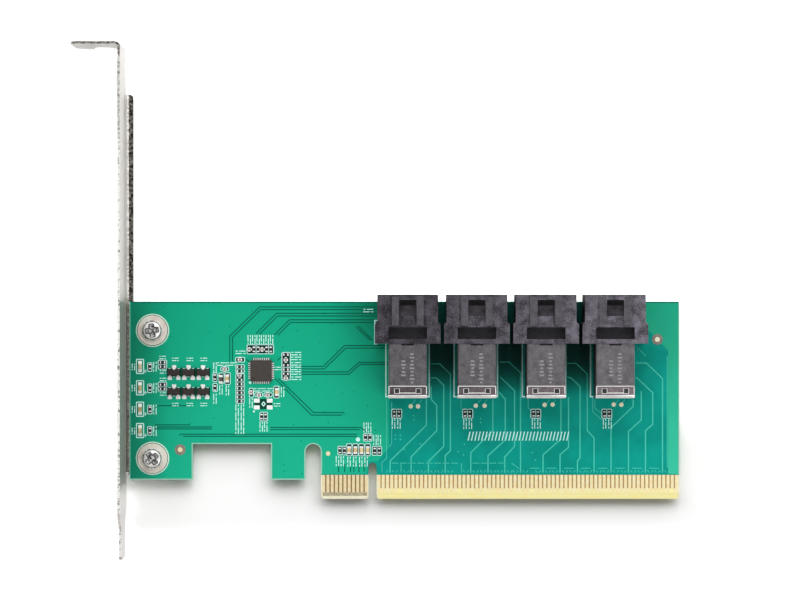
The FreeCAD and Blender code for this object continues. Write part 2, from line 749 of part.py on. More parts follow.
def transistor_body(x, y):
    """Moulded body that stands clear of the board by the thickness of its leads."""
    foot = board_top + LEAD_SHEET
    head = board_top + TRANSISTOR_HEIGHT
    size = (TRANSISTOR_LENGTH, TRANSISTOR_WIDTH)
    return tapered_block(x, y, *size, foot, head, TRANSISTOR_DRAFT)


def transistor_leads(x, y):
    """Two leads below the body and one above, each stepped down to the board."""
    step = TRANSISTOR_HEIGHT / 2
    lean = TRANSISTOR_DRAFT / (TRANSISTOR_HEIGHT - LEAD_SHEET)
    upper_wall = TRANSISTOR_WIDTH / 2 - lean * (step - LEAD_SHEET)
    lower_wall = upper_wall + lean * LEAD_SHEET
    toe = TRANSISTOR_WIDTH / 2 + LEAD_REACH
    heel = toe - LEAD_FOOT
    z = board_top
    side = (
        (upper_wall, z + step, 0),
        (heel, z + step, 0),
        (heel + LEAD_SHEET, z + LEAD_SHEET, 0),
        (toe, z + LEAD_SHEET, 0),
        (toe, z, 0),
        (heel, z, 0),
        (heel - LEAD_SHEET, z + step - LEAD_SHEET, 0),
        (lower_wall, z + step - LEAD_SHEET, 0),
    )
    leads = []
    for shift, turn in ((-LEAD_SPACING / 2, 180), (LEAD_SPACING / 2, 180), (0, 0)):
        lead = along_x(side, -LEAD_WIDTH / 2, LEAD_WIDTH / 2)
        lead.rotate(FreeCAD.Vector(), FreeCAD.Vector(0, 0, 1), turn)
        lead.translate(FreeCAD.Vector(x + shift, y, 0))
        leads.append(lead)
    return leads


def row_of(x, y, count, step_x, step_y, flat):
    """Centres of a row of small parts, and whether each lies along X."""
    return [(x + i * step_x, y + i * step_y, flat) for i in range(count)]


def near_chip(shift, flat):
    """Place of one small part near the chip."""
    return [(chip_x + shift[0], CHIP_LEVEL + shift[1], flat)]


def part_bodies(size, places):
    """Middle sections of two-ended chip parts."""
    length, width, height, cap = size
    core = length - 2 * cap
    solids = []
    for x, y, flat in places:
        a, b = (core, width) if flat else (width, core)
        solids.append(centred_box(x, y, a, b, board_top, board_top + height - CAP_PROUD))
    return solids


def part_caps(size, places):
    """Metal end caps of two-ended chip parts."""
    length, width, height, cap = size
    out = (length - cap) / 2
    wide = width + 2 * CAP_PROUD
    solids = []
    for x, y, flat in places:
        for shift in (-out, out):
            if flat:
                solids.append(centred_box(x + shift, y, cap, wide, board_top, board_top + height))
            else:
                solids.append(centred_box(x, y + shift, wide, cap, board_top, board_top + height))
    return solids


os.makedirs("parts", exist_ok=True)

save("circuit_board", circuit_board())
contact_top = board_top + CONTACT_THICKNESS
contact_foot = board_back - CONTACT_THICKNESS
save("edge_contacts_front", *edge_contacts(board_top, contact_top, LATE_CONTACTS_FRONT))
save("edge_contacts_back", *edge_contacts(contact_foot, board_back, LATE_CONTACTS_BACK))

save("mounting_bracket", mounting_bracket())
save("bracket_screws", *[bracket_screw(y, turn) for y, turn in zip(screw_levels, SCREW_TURNS)])
save("screw_washers", *[washer(y) for y in screw_levels])

for number in range(PORT_COUNT):
    middle = port_x(number)
    name = "port_%d_" % (number + 1)
    save(name + "shroud", port_shroud(middle))
    save(name + "contact_block", contact_block(middle))
    save(name + "contacts", *port_contacts(middle))
    save(name + "rear_cover", rear_cover(middle))
    save(name + "rear_clip", rear_clip(middle))

save("clock_chip", chip_body())
save("clock_chip_terminals", *chip_terminals())

all_leads = []
for row in range(TRANSISTOR_ROWS):
    for column in range(TRANSISTOR_COLUMNS):
        x = board_left + TRANSISTOR_FROM_END + column * transistor_pitch
        y = TRANSISTOR_LEVEL + row * TRANSISTOR_ROW_SPACING
        number = row * TRANSISTOR_COLUMNS + column + 1
        save("transistor_%d" % number, transistor_body(x, y))
        all_leads += transistor_leads(x, y)
save("transistor_leads", *all_leads)

lamp_x = board_left + LAMP_FROM_END
lens_foot = board_top + LAMP_BASE_HEIGHT
lens_top = lens_foot + LAMP_LENS_HEIGHT
bases = []
for number in range(LAMP_COUNT):
    y = LAMP_LEVEL + number * LAMP_PITCH
    bases.append(centred_box(lamp_x, y, LAMP_WIDTH, LAMP_LENGTH, board_top, lens_foot))
    lens_size = (LAMP_WIDTH, LAMP_LENS_LENGTH)
    lens = tapered_block(lamp_x, y, *lens_size, lens_foot, lens_top, LAMP_LENS_DRAFT)
    save("status_lamp_%d" % (number + 1), lens)
save("status_lamp_bases", *bases)

resistors = row_of(
    board_left + LAMP_RESISTOR_FROM_END, LAMP_LEVEL, LAMP_COUNT, 0, LAMP_PITCH, False
)
for level in DRIVER_LEVELS:
    resistors += row_of(board_left + DRIVER_FROM_END, level, 2, 0, ROW_PITCH, True)
resistors += row_of(board_left + GATE_FROM_END, GATE_LEVEL, 2, 0, GATE_SPACING, False)
left_column = chip_x + LEFT_COLUMN
right_column = chip_x + RIGHT_COLUMN
resistors += row_of(left_column, CHIP_LEVEL + LEFT_UPPER, 2, 0, ROW_PITCH, True)
resistors += row_of(left_column, CHIP_LEVEL + LEFT_LOWER, 6, 0, ROW_PITCH, True)
for shift in UPPER_RESISTORS:
    resistors += row_of(chip_x + shift, CHIP_LEVEL + UPPER_ROW, 2, ROW_PITCH, 0, False)
resistors += near_chip((RIGHT_COLUMN, RIGHT_TOP), True)
resistors += row_of(right_column, CHIP_LEVEL + RIGHT_LOWER, 3, 0, ROW_PITCH, True)
lower_x = chip_x + LOWER_PAIR[0]
lower_level = CHIP_LEVEL + LOWER_PAIR[1]
resistors += row_of(lower_x, lower_level, 2, LOWER_PAIR_PITCH, 0, False)
for x, y in KEY_PAIRS:
    resistors += row_of(x, y, 2, PAIR_PITCH, 0, False)
for number in range(PORT_COUNT):
    x = port_x(number) + PORT_PAIR_SHIFTS[number]
    resistors += row_of(x, cover_rear - PORT_PAIR_BEHIND_COVER, 2, PAIR_PITCH, 0, False)
save("chip_resistors", *part_bodies(RESISTOR, resistors))

small = [(board_left + FILTER_TOP_FROM_END, FILTER_TOP_LEVEL, True)]
small += near_chip(LEFT_TOP_CAPACITOR, True)
small += near_chip((LEFT_COLUMN, LEFT_CAPACITOR_LEVEL), True)
for shift in UPPER_CAPACITORS:
    small += near_chip((shift, UPPER_ROW), False)
for level in RIGHT_CAPACITORS:
    small += near_chip((RIGHT_COLUMN, level), True)
small += near_chip(LOWER_LEFT_CAPACITOR, False)
lower_x = chip_x + LOWER_CAPACITORS[0]
lower_level = CHIP_LEVEL + LOWER_CAPACITORS[1]
small += row_of(lower_x, lower_level, 2, LOWER_CAPACITOR_PITCH, 0, True)
large = [(board_left + FILTER_FROM_END, FILTER_LEVEL, False)]
large += near_chip(LOWER_RIGHT_CAPACITOR, False)
large += row_of(*KEY_CAPACITORS, KEY_CAPACITOR_COUNT, KEY_CAPACITOR_PITCH, 0, False)
cores = part_bodies(SMALL_CAPACITOR, small) + part_bodies(LARGE_CAPACITOR, large)
save("ceramic_capacitors", *cores)
ends = part_caps(SMALL_CAPACITOR, small) + part_caps(LARGE_CAPACITOR, large)
save("ceramic_capacitor_caps", *ends)

bead = [(board_left + BEAD_FROM_END, BEAD_LEVEL, False)]
save("ferrite_bead", *part_bodies(BEAD, bead))
save("ferrite_bead_caps", *part_caps(BEAD, bead))
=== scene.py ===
import bpy
import bmesh
import math
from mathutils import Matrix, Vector
from mathutils.geometry import tessellate_polygon


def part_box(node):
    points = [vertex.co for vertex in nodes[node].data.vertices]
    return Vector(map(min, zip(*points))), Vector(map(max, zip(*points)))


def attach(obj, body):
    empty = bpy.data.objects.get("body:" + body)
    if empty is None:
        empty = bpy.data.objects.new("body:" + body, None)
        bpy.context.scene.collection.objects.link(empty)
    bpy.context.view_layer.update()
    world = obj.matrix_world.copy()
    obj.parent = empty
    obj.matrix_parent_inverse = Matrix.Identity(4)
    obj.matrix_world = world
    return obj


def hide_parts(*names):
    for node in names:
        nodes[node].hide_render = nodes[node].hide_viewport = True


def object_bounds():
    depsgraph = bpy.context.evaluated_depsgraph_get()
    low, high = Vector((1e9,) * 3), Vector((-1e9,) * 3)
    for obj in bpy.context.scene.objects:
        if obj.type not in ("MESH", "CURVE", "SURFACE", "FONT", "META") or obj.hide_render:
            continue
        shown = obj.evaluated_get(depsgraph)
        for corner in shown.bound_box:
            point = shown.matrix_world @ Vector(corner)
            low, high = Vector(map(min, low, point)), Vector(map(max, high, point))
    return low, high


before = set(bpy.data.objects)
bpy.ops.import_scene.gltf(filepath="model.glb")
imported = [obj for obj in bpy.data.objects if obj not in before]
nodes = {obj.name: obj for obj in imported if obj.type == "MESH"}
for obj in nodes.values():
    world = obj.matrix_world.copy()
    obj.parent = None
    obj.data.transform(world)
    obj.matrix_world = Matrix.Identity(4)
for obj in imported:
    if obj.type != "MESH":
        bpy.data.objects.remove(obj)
cad_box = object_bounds()

# Adapter card with four cable ports, lying on its solder side and seen from straight above.
# Lengths in this file are millimetres on the card, and MM turns them to metres.
MM = 0.001
WELD = 0.0005 * MM
PORTS = (1, 2, 3, 4)
TRANSISTORS = range(1, 7)


def span(node):
    """Lowest and highest corner of a CAD node, in millimetres."""
    low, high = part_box(node)
    return low / MM, high / MM


def solids_of(node):
    """Lowest and highest corner of each separate solid in a CAD node, in millimetres."""
    mesh = bmesh.new()
    mesh.from_mesh(nodes[node].data)
    bmesh.ops.remove_doubles(mesh, verts=mesh.verts, dist=WELD)
    waiting = set(mesh.verts)
    boxes = []
    while waiting:
        group = [waiting.pop()]
        for corner in group:
            for edge in corner.link_edges:
                other = edge.other_vert(corner)
                if other in waiting:
                    waiting.remove(other)
                    group.append(other)
        places = [corner.co / MM for corner in group]
        low = Vector([min(p[i] for p in places) for i in range(3)])
        high = Vector([max(p[i] for p in places) for i in range(3)])
        boxes.append((low, high))
    mesh.free()
    return sorted(boxes, key=lambda box: tuple(round(c, 3) for c in box[0]))


# Places taken from the CAD
board_low, board_high = span("circuit_board")
left, right, top = board_low.x, board_high.x, board_high.y
BOARD_TOP, BOARD_BACK = board_high.z, board_low.z
contacts_low, contacts_high = span("edge_contacts_front")
MASK_EDGE = contacts_high.y
chip_low, chip_high = span("clock_chip")
clip_low, clip_high = span("port_1_rear_clip")
cover_low, cover_high = span("port_1_rear_cover")
COVER_REAR, COVER_TOP = cover_low.y, cover_high.z
shroud_low, shroud_high = span("port_1_shroud")
SHROUD_REAR, SHROUD_TOP = shroud_low.y, shroud_high.z
port_middle = {}
for number in PORTS:
    low, high = span("port_%d_rear_cover" % number)
    port_middle[number] = (low.x + high.x) / 2
transistors = [span("transistor_%d" % number) for number in TRANSISTORS]
washers = solids_of("screw_washers")
WASHER_TOP = span("screw_washers")[1].z

# The board's lower outline: lobe by the bracket, big notch, relief slot, contact tab, key notch
SHOULDER = 4.55
LOBE_RIGHT, NOTCH_RIGHT, NOTCH_TOP = -42.30, -23.90, 12.94
RELIEF_LEFT, RELIEF_TOP, TAB_LEFT = -15.80, 12.95, -12.15
KEY_HALF, KEY_TOP = 0.95, 8.55
FLANGE_MIDDLE = -57.45

# Layers of the printed board above the laminate
POUR = 0.020
TRACE = 0.022
GAP_LINE = 0.024
RIM = 0.028
PAD = 0.035
INK = 0.045


# Patterns for the materials

def linear(hex_colour):
    """Linear colour from an sRGB hex value."""
    parts = [int(hex_colour[i:i + 2], 16) / 255 for i in (1, 3, 5)]
    values = [c / 12.92 if c <= 0.04045 else ((c + 0.055) / 1.055) ** 2.4 for c in parts]
    return (*values, 1.0)


def add(tree, kind, inputs=None, **settings):
    """Adds one node with its settings. An input takes a value, or a link from a socket."""
    node = tree.nodes.new(kind)
    for key, value in settings.items():
        setattr(node, key, value)
    for key, value in (inputs or {}).items():
        if isinstance(value, bpy.types.NodeSocket):
            tree.links.new(value, node.inputs[key])
        else:
            node.inputs[key].default_value = value
    return node


def clouds(tree, size, detail, stretch=(1, 1, 1)):
    """Cloudy grey with patches of a real size in millimetres."""
    place = add(tree, "ShaderNodeTexCoord")
    squeezed = add(tree, "ShaderNodeMapping", {"Vector": place.outputs["Object"], "Scale": stretch})
    noise = add(tree, "ShaderNodeTexNoise", {"Vector": squeezed.outputs["Vector"],
                                             "Scale": 1 / (size * MM), "Detail": detail})
    return noise.outputs["Fac"]


def layered(tree, ground, *coats):
    """Coats over a ground. Each is a share and a colour, and the last one lies on top."""
    for share, colour in coats:
        mixed = add(tree, "ShaderNodeMix", {0: share, 6: ground, 7: colour}, data_type="RGBA")
        ground = mixed.outputs[2]
    return ground


def flecks(tree, ground, size, colour, low, high, detail=1.0):
    """Cloudy patches of one more colour over a ground, with a real size in millimetres."""
    share = add(tree, "ShaderNodeMapRange", {"Value": clouds(tree, size, detail),
                                             "From Min": low, "From Max": high})
    return layered(tree, ground, (share.outputs["Result"], linear(colour)))


def blotches(tree, size, dark, light, low=0.35, high=0.65, detail=3.0):
    """Cloudy change between two colours, with patches of a real size in millimetres."""
    return flecks(tree, linear(dark), size, light, low, high, detail)


def grain(tree, size, height, strength, stretch=(1, 1, 1)):
    """Fine relief with a real grain size and height in millimetres."""
    bump = add(tree, "ShaderNodeBump", {"Height": clouds(tree, size, 2.0, stretch),
                                        "Distance": height * MM, "Strength": strength})
    return bump.outputs["Normal"]


def upward(tree, least):
    """One on faces that look up or down, nought on upright ones."""
    shape = add(tree, "ShaderNodeNewGeometry")
    facing = add(tree, "ShaderNodeSeparateXYZ", {0: shape.outputs["True Normal"]})
    size = add(tree, "ShaderNodeMath", {0: facing.outputs["Z"]}, operation="ABSOLUTE")
    flat = add(tree, "ShaderNodeMath", {0: size.outputs[0], 1: least}, operation="GREATER_THAN")
    return flat.outputs[0]


def beyond(tree, axis, level, side="GREATER_THAN"):
    """One where the card's own X, Y or Z is past a level in millimetres."""
    place = add(tree, "ShaderNodeTexCoord")
    axes = add(tree, "ShaderNodeSeparateXYZ", {0: place.outputs["Object"]})
    past = add(tree, "ShaderNodeMath", {0: axes.outputs[axis], 1: level * MM}, operation=side)
    return past.outputs[0]


def fading(tree, axis, start, end, first=0.0, last=1.0, change="LINEAR"):
    """Value that goes from first to last between two levels of X, Y or Z in millimetres."""
    place = add(tree, "ShaderNodeTexCoord")
    axes = add(tree, "ShaderNodeSeparateXYZ", {0: place.outputs["Object"]})
    share = add(tree, "ShaderNodeMapRange",
                {"Value": axes.outputs[axis], "From Min": start * MM, "From Max": end * MM,
                 "To Min": first, "To Max": last}, interpolation_type=change)
    return share.outputs["Result"]


def painted_light_along_ports(tree):
    """Nought at the first port and one at the last, evenly between them: the share of painted light
    from the last port's side.
    """
    return fading(tree, "X", port_middle[PORTS[0]], port_middle[PORTS[-1]])


def apart(tree, spot):
    """Distance in metres from a spot that is given in millimetres."""
    place = add(tree, "ShaderNodeTexCoord")
    reach = add(tree, "ShaderNodeVectorMath", {0: place.outputs["Object"],
                                               1: [c * MM for c in spot]}, operation="DISTANCE")
    return reach.outputs["Value"]


def surface(name, colour, *values, relief=None, **sockets):
    """Material whose colour comes from a function, with a relief and plain shader values."""
    material = bpy.data.materials.new(name)
    material.use_nodes = True
    tree = material.node_tree
    shader = tree.nodes["Principled BSDF"]
    for key, value in sockets.items():
        shader.inputs[key.replace("_", " ")].default_value = value
    tree.links.new(colour(tree, *values), shader.inputs["Base Color"])
    if relief:
        tree.links.new(grain(tree, *relief), shader.inputs["Normal"])
    return material


# Epoxy solder mask on woven laminate: the eye gets a satin blue-green coat with a faint
# unevenness from the weave below, pale sawn edges, brown bare laminate between the contacts
# and a straw-coloured bevel where the mask ends, lightened as a painted highlight. Specular is
# low because the coat is thin.
MASK = {"relief": (0.45, 0.004, 0.5), "IOR": 1.52, "Specular_IOR_Level": 0.12}
PLAIN_MASK = (6.0, "#009384", "#04a292")
BEVEL_RISE, WORN_RISE = 0.95, 0.75
KEY_MARGIN, TAB_MARGIN, MASK_MARGIN = 1.30, 0.48, 1.0


def laminate_colour(tree):
    cream = blotches(tree, 1.2, "#f0ebca", "#fbf7da")
    rubbed = blotches(tree, 0.45, "#93866a", "#d2c7a8", 0.30, 0.70)
    worn = layered(tree, cream, (beyond(tree, "Y", board_low.y + WORN_RISE), rubbed))
    on_tab = beyond(tree, "X", 0.0, "LESS_THAN")
    straw = layered(tree, blotches(tree, 1.2, "#fff2a4", "#fff6b5"), (on_tab, worn))
    coat = blotches(tree, *PLAIN_MASK)
    place = add(tree, "ShaderNodeTexCoord")
    axes = add(tree, "ShaderNodeSeparateXYZ", {0: place.outputs["Object"]})
    by_key = add(tree, "ShaderNodeMath", {0: axes.outputs["X"], 1: 0.0, 2: KEY_MARGIN * MM},
                 operation="COMPARE")
    face = layered(
        tree, straw,
        (beyond(tree, "Y", contacts_low.y + BEVEL_RISE), blotches(tree, 0.8, "#a98550", "#bd985e")),
        (on_tab, blotches(tree, 0.8, "#7d6038", "#94713f")),
        (beyond(tree, "Y", contacts_low.y, "LESS_THAN"), straw),
        (by_key.outputs[0], cream),
        (beyond(tree, "X", TAB_LEFT + TAB_MARGIN, "LESS_THAN"), cream),
        (beyond(tree, "X", contacts_high.x), cream),
        (beyond(tree, "Y", MASK_EDGE), coat),
        (beyond(tree, "X", contacts_low.x - MASK_MARGIN, "LESS_THAN"), coat))
    sawn = blotches(tree, 0.25, "#7f9a70", "#c9d3a8")
    return layered(tree, sawn, (upward(tree, 0.80), face))


laminate = surface("solder_mask_on_laminate", laminate_colour, Roughness=0.42, **MASK)


# The same mask where copper lies under it: copper lifts the green and makes it warmer. It is
# lighter toward the contact edge, as painted light from that side. Where it has a painted shade,
# it is darker beside the bracket and at the outer corner of the first port: painted shade from
# the bracket and the first port's shroud.
SHADE_BY_BRACKET, SHADE_BY_PORT = 9.0, 11.0


def copper_colour(tree, dark, light, painted_shade):
    thin = fading(tree, "Y", top, MASK_EDGE, 0.15, 0.85)
    share = add(tree, "ShaderNodeMix", {0: 0.25, 2: thin, 3: clouds(tree, 9.0, 3.0)})
    green = layered(tree, linear(dark), (share.outputs[0], linear(light)))
    near = fading(tree, "X", left, left + SHADE_BY_BRACKET, painted_shade, 0.0)
    beside = add(tree, "ShaderNodeMapRange", {
        "Value": apart(tree, (shroud_low.x, top, BOARD_TOP)), "From Max": SHADE_BY_PORT * MM,
        "To Min": painted_shade, "To Max": 0.0})
    deeper = add(tree, "ShaderNodeMath", {0: near, 1: beside.outputs["Result"]},
                 operation="MAXIMUM")
    return layered(tree, green, (deeper.outputs[0], linear("#004a35")))


def mask_on_copper(name, dark, light, roughness=0.42, painted_shade=0.0):
    return surface(name, copper_colour, dark, light, painted_shade, Roughness=roughness, **MASK)


pour_mask = mask_on_copper("solder_mask_on_copper", "#04a07a", "#1ebd96", painted_shade=0.60)
end_mask = mask_on_copper("solder_mask_on_end_copper", "#009a74", "#44d4b0")
# The tracks' colour near the ports is raised almost to that at the contacts, as painted light in
# the covers' shade.
trace_mask = mask_on_copper("solder_mask_on_trace", "#48c4ae", "#4ed2be")
gap_mask = mask_on_copper("solder_mask_in_gap", "#00604b", "#006d55")
via_mask = mask_on_copper("solder_mask_over_via", "#008a68", "#009c78")
clearance_and_shade_mask = mask_on_copper("solder_mask_clearance_and_painted_shade", "#003a2c", "#004838")
edge_highlight_mask = mask_on_copper("painted_highlight_at_edges", "#7cc7a8", "#a8dec4", 0.50)
ring_mask = mask_on_copper("solder_mask_round_washers", "#c4eed8", "#e2fbee", 0.50)
top_edge_shade_mask = mask_on_copper("painted_shade_at_top_edge", "#08664f", "#0c745a", 0.50)


# The mask between the ports darkens toward the top edge: painted shade from the shrouds and covers.
GAP_START, GAP_DEEP = COVER_REAR - 2.5, SHROUD_REAR - 3.0


def port_gap_shade_colour(tree):
    share = fading(tree, "Y", GAP_START, GAP_DEEP, change="SMOOTHSTEP")
    shaded_green = blotches(tree, 6.0, "#004a42", "#005148")
    return layered(tree, blotches(tree, *PLAIN_MASK), (share, shaded_green))


port_gap_shade_mask = surface("painted_shade_between_ports", port_gap_shade_colour, Roughness=0.42, **MASK)


# Printed epoxy ink: matt, with ragged cover. The screen-printed white lets a little of the mask's
# green through, and the print on the covers is grey.
PRINTED = {"Roughness": 0.62, "IOR": 1.50}
ink = surface("screen_printed_ink", blotches, 0.25, "#c6fff4", "#dafffb", **PRINTED)
pad_print = surface("pad_printed_grey", blotches, 0.25, "#827f83", "#9a979b", **PRINTED)


# Gold over nickel: a warm metal, satin from plating, with fine rub marks along the contacts. It
# is browner on the short tab. The thin immersion gold of the test pads is paler.
def gold_colour(tree, dark, light):
    rubbed = blotches(tree, 0.9, "#efdaa8", "#f8e8c0")
    return layered(tree, rubbed, (beyond(tree, "X", 0.0), blotches(tree, 0.9, dark, light)))


PLATED = {"relief": (0.10, 0.003, 0.6, (1.0, 0.15, 1.0)), "Roughness": 0.46}
gold = surface("hard_gold_plating", gold_colour, "#ffeaae", "#fff8d0", Metallic=0.20, **PLATED)
pad_gold = surface("immersion_gold", gold_colour, "#fffccc", "#fffff0", Metallic=0.05, **PLATED)

# Tin solder: bright, rounded and a little uneven where it has reflowed, and matt white on leads,
# end caps and pads.
LUMPY = (0.30, 0.010, 0.6)
tin = surface("reflowed_tin", blotches, 0.5, "#eceeec", "#fafaf8", relief=LUMPY, Metallic=1.0,
              Roughness=0.34)
dull_tin = surface("matt_tin", blotches, 0.5, "#fafbf8", "#ffffff", relief=LUMPY, Metallic=0.05,
                   Roughness=0.45)

# Nickel-plated mild steel: satin, with fine lines along the roll direction and soft rosy clouds
# where the plating is thinner.
ROLLED = (0.25, 0.006, 0.5, (1.0, 0.08, 1.0))
washer_steel = surface("nickel_plated_washer", blotches, 2.2, "#e4d2ca", "#f5f4e6", 0.30, 0.70,
                       relief=ROLLED, Metallic=0.20, Roughness=0.46)


# The bracket's sheet: the rolled faces are bright, with a painted highlight at the low bends. The
# inner face is greyer and less metallic beside the board, as painted shade and a painted
# reflection of the dark board. Sheared edges are matt: pale with grey nicks along the plate, and
# dark and torn in small patches on tab and flange, where the flange's darkness is painted shade
# from the plate beside it.
SHEARED = {"low": 0.40, "high": 0.66, "detail": 4.0}
BEND_RISE, UPPER_EDGE, CHIPPED_EDGE = 1.3, 84.0, 103.5
BOARD_REFLECTION_FADE, SHOULDER_FADE, POLISH_FADE = 3, 2, 1


def bracket_colour(tree):
    bright = blotches(tree, 2.2, "#d8d4d0", "#e6e3df", 0.30, 0.70)
    bend_highlight = blotches(tree, 2.2, "#f6f4f0", "#ffffff", 0.30, 0.70)
    board_reflection = blotches(tree, 2.2, "#464240", "#54504d", 0.30, 0.70)
    shape = add(tree, "ShaderNodeNewGeometry")
    facing = add(tree, "ShaderNodeSeparateXYZ", {0: shape.outputs["True Normal"]})
    inner = add(tree, "ShaderNodeMath", {0: facing.outputs["X"], 1: 0.5},
                operation="GREATER_THAN")
    for share in (fading(tree, "Y", top + BOARD_REFLECTION_FADE, top - BOARD_REFLECTION_FADE, 0.0, 0.50,
                         "SMOOTHSTEP"),
                  fading(tree, "Y", SHOULDER - SHOULDER_FADE, SHOULDER, change="SMOOTHSTEP")):
        inner = add(tree, "ShaderNodeMath", {0: inner.outputs[0], 1: share}, operation="MULTIPLY")
    rolled = layered(tree, bend_highlight, (beyond(tree, "Z", BOARD_TOP + BEND_RISE), bright),
                     (inner.outputs[0], board_reflection))

    shaded_torn = blotches(tree, 0.55, "#191614", "#88847c", **SHEARED)
    chipped = blotches(tree, 0.55, "#3e3a37", "#bfbbb3", **SHEARED)
    smooth = blotches(tree, 0.55, "#aaa6a0", "#f2efe9", 0.36, 0.60, 4.0)
    worn = blotches(tree, 0.55, "#9b968f", "#efece6", 0.36, 0.62, 4.0)
    nicked = blotches(tree, 0.60, "#7c7974", "#f6f4ef", 0.34, 0.48, 4.0)
    upper = blotches(tree, 0.60, "#77746f", "#dcdad4", 0.34, 0.56, 4.0)
    flange = layered(tree, shaded_torn, (beyond(tree, "X", FLANGE_MIDDLE, "LESS_THAN"), smooth))
    ragged = layered(tree, flange, (beyond(tree, "Y", SHOULDER), worn),
                     (beyond(tree, "Y", top), flange))
    plate = layered(tree, nicked, (beyond(tree, "Y", UPPER_EDGE), upper),
                    (beyond(tree, "Y", CHIPPED_EDGE), chipped))
    dull = layered(tree, ragged, (beyond(tree, "Z", BOARD_TOP), plate))

    cut = upward(tree, 0.85)
    matt = add(tree, "ShaderNodeMath", {0: cut, 1: inner.outputs[0]}, operation="MAXIMUM")
    metal = add(tree, "ShaderNodeMapRange", {"Value": matt.outputs[0], "To Min": 0.92,
                                             "To Max": 0.10})
    shader = tree.nodes["Principled BSDF"]
    tree.links.new(metal.outputs["Result"], shader.inputs["Metallic"])
    polish = fading(tree, "Y", top - POLISH_FADE, top + POLISH_FADE, 0.16, 0.36)
    tree.links.new(polish, shader.inputs["Roughness"])
    return layered(tree, rolled, (cut, dull))


bracket_steel = surface("nickel_plated_bracket", bracket_colour, relief=ROLLED,
                        Specular_IOR_Level=0.0)


# The spring clips' tinned sheet: rosy grey on the flat, lighter from port to port as painted light
# from that side, and bright at the bend and low on the sides as a painted highlight.
CLIP_BEND, CLIP_SIDES = 0.55, 0.80


def clip_colour(tree):
    flat = layered(tree, blotches(tree, 1.0, "#564d51", "#72676a", 0.30, 0.70),
                   (painted_light_along_ports(tree), blotches(tree, 1.0, "#7e7276", "#9e9295", 0.30, 0.70)))
    bent = blotches(tree, 1.0, "#ebe9e5", "#ffffff", 0.30, 0.70)
    return layered(tree, bent, (beyond(tree, "Y", COVER_REAR + CLIP_BEND), flat),
                   (beyond(tree, "Z", COVER_TOP - CLIP_SIDES, "LESS_THAN"), flat))


clip_steel = surface("tinned_spring_sheet", clip_colour, relief=ROLLED, Metallic=0.60,
                     Roughness=0.40)


# Screw heads: satin nickel, mottled with painted highlights on the floor of the cross, and painted
# shade on its steep walls.
CROSS_FLOOR, CROSS_WALLS, HEAD_SIDES = 0.80, 1.00, 1.06


def screw_colour(tree):
    clean = blotches(tree, 0.8, "#f0efe8", "#ffffff", 0.30, 0.70)
    floor_highlights = blotches(tree, 0.5, "#55524d", "#ffffff", 0.42, 0.58)
    recess_shade = blotches(tree, 0.3, "#0c0a09", "#2c2926", 0.30, 0.70)
    nickel = layered(tree, clean, (beyond(tree, "Z", WASHER_TOP + CROSS_FLOOR), floor_highlights),
                     (beyond(tree, "Z", WASHER_TOP + CROSS_WALLS), clean))
    return layered(tree, recess_shade, (upward(tree, 0.72), nickel),
                   (beyond(tree, "Z", WASHER_TOP + HEAD_SIDES, "LESS_THAN"), nickel))


screw_steel = surface("nickel_plated_screw", screw_colour, relief=(0.25, 0.006, 0.5),
                      Metallic=0.25, Roughness=0.30)


# Glass-filled nylon, moulded: dark, with a dry purple-grey mottle of fibres on the upper skin,
# paler there than on the sides from dust and painted sheen, paler from port to port as painted
# light from that side, and the plain black of the resin lower down and inside, blackest toward
# the mouth as painted shade in the latch window.
SKIN_DEEP, HOLLOW_DEEP, MOUTH_START = 0.62, 1.20, 43.0
FIBRES = {"low": 0.38, "high": 0.64, "detail": 9.0}


def shroud_colour(tree):
    skin = blotches(tree, 2.4, "#221e26", "#48444d", **FIBRES)
    skin = flecks(tree, skin, 0.25, "#6b6770", 0.58, 0.80)
    skin_lit_along_ports = blotches(tree, 2.4, "#423e47", "#726d78", **FIBRES)
    skin_lit_along_ports = flecks(tree, skin_lit_along_ports, 0.25, "#9b97a1", 0.58, 0.80)
    hollow = blotches(tree, 1.6, "#1f1c21", "#39363c", **FIBRES)
    black = blotches(tree, 0.50, "#040405", "#0c0c0e", 0.40, 0.60)
    inside = blotches(tree, 0.50, "#242127", "#55505a", 0.40, 0.60)
    return layered(tree, inside, (beyond(tree, "Y", MOUTH_START), black),
                   (beyond(tree, "Z", SHROUD_TOP - HOLLOW_DEEP), hollow),
                   (beyond(tree, "Z", SHROUD_TOP - SKIN_DEEP),
                    layered(tree, skin, (painted_light_along_ports(tree), skin_lit_along_ports))))


shroud_nylon = surface("glass_filled_nylon_black", shroud_colour, relief=(0.30, 0.030, 1.0),
                       Roughness=0.60, IOR=1.53, Specular_IOR_Level=0.25)


# The same nylon in grey on the rear covers, paler from port to port as painted light from that
# side, with black resin below.
MOULDED = {"relief": (0.30, 0.015, 0.7), "IOR": 1.53}
COVER_SKIN = 0.80


def cover_colour(tree):
    skin = layered(tree, blotches(tree, 1.4, "#454246", "#5d5a5e", 0.32, 0.70),
                   (painted_light_along_ports(tree), blotches(tree, 1.4, "#535054", "#6e6b6f", 0.32, 0.70)))
    skin = flecks(tree, skin, 0.22, "#8c898d", 0.62, 0.80)
    resin = blotches(tree, 0.55, "#111013", "#1d1c1f")
    return layered(tree, resin, (beyond(tree, "Z", COVER_TOP - COVER_SKIN), skin))


cover_nylon = surface("glass_filled_nylon_grey", cover_colour, Roughness=0.58, **MOULDED)


# Small mouldings: a cloudy dark skin with sparse pale flecks of filler. The rubbed nylon beside
# the latch channels is paler, and the epoxy packages are brown-black.
def moulded_colour(tree, size, dark, light, fleck):
    skin = blotches(tree, size, dark, light, 0.30, 0.72)
    return flecks(tree, skin, 0.22, fleck, 0.62, 0.80)


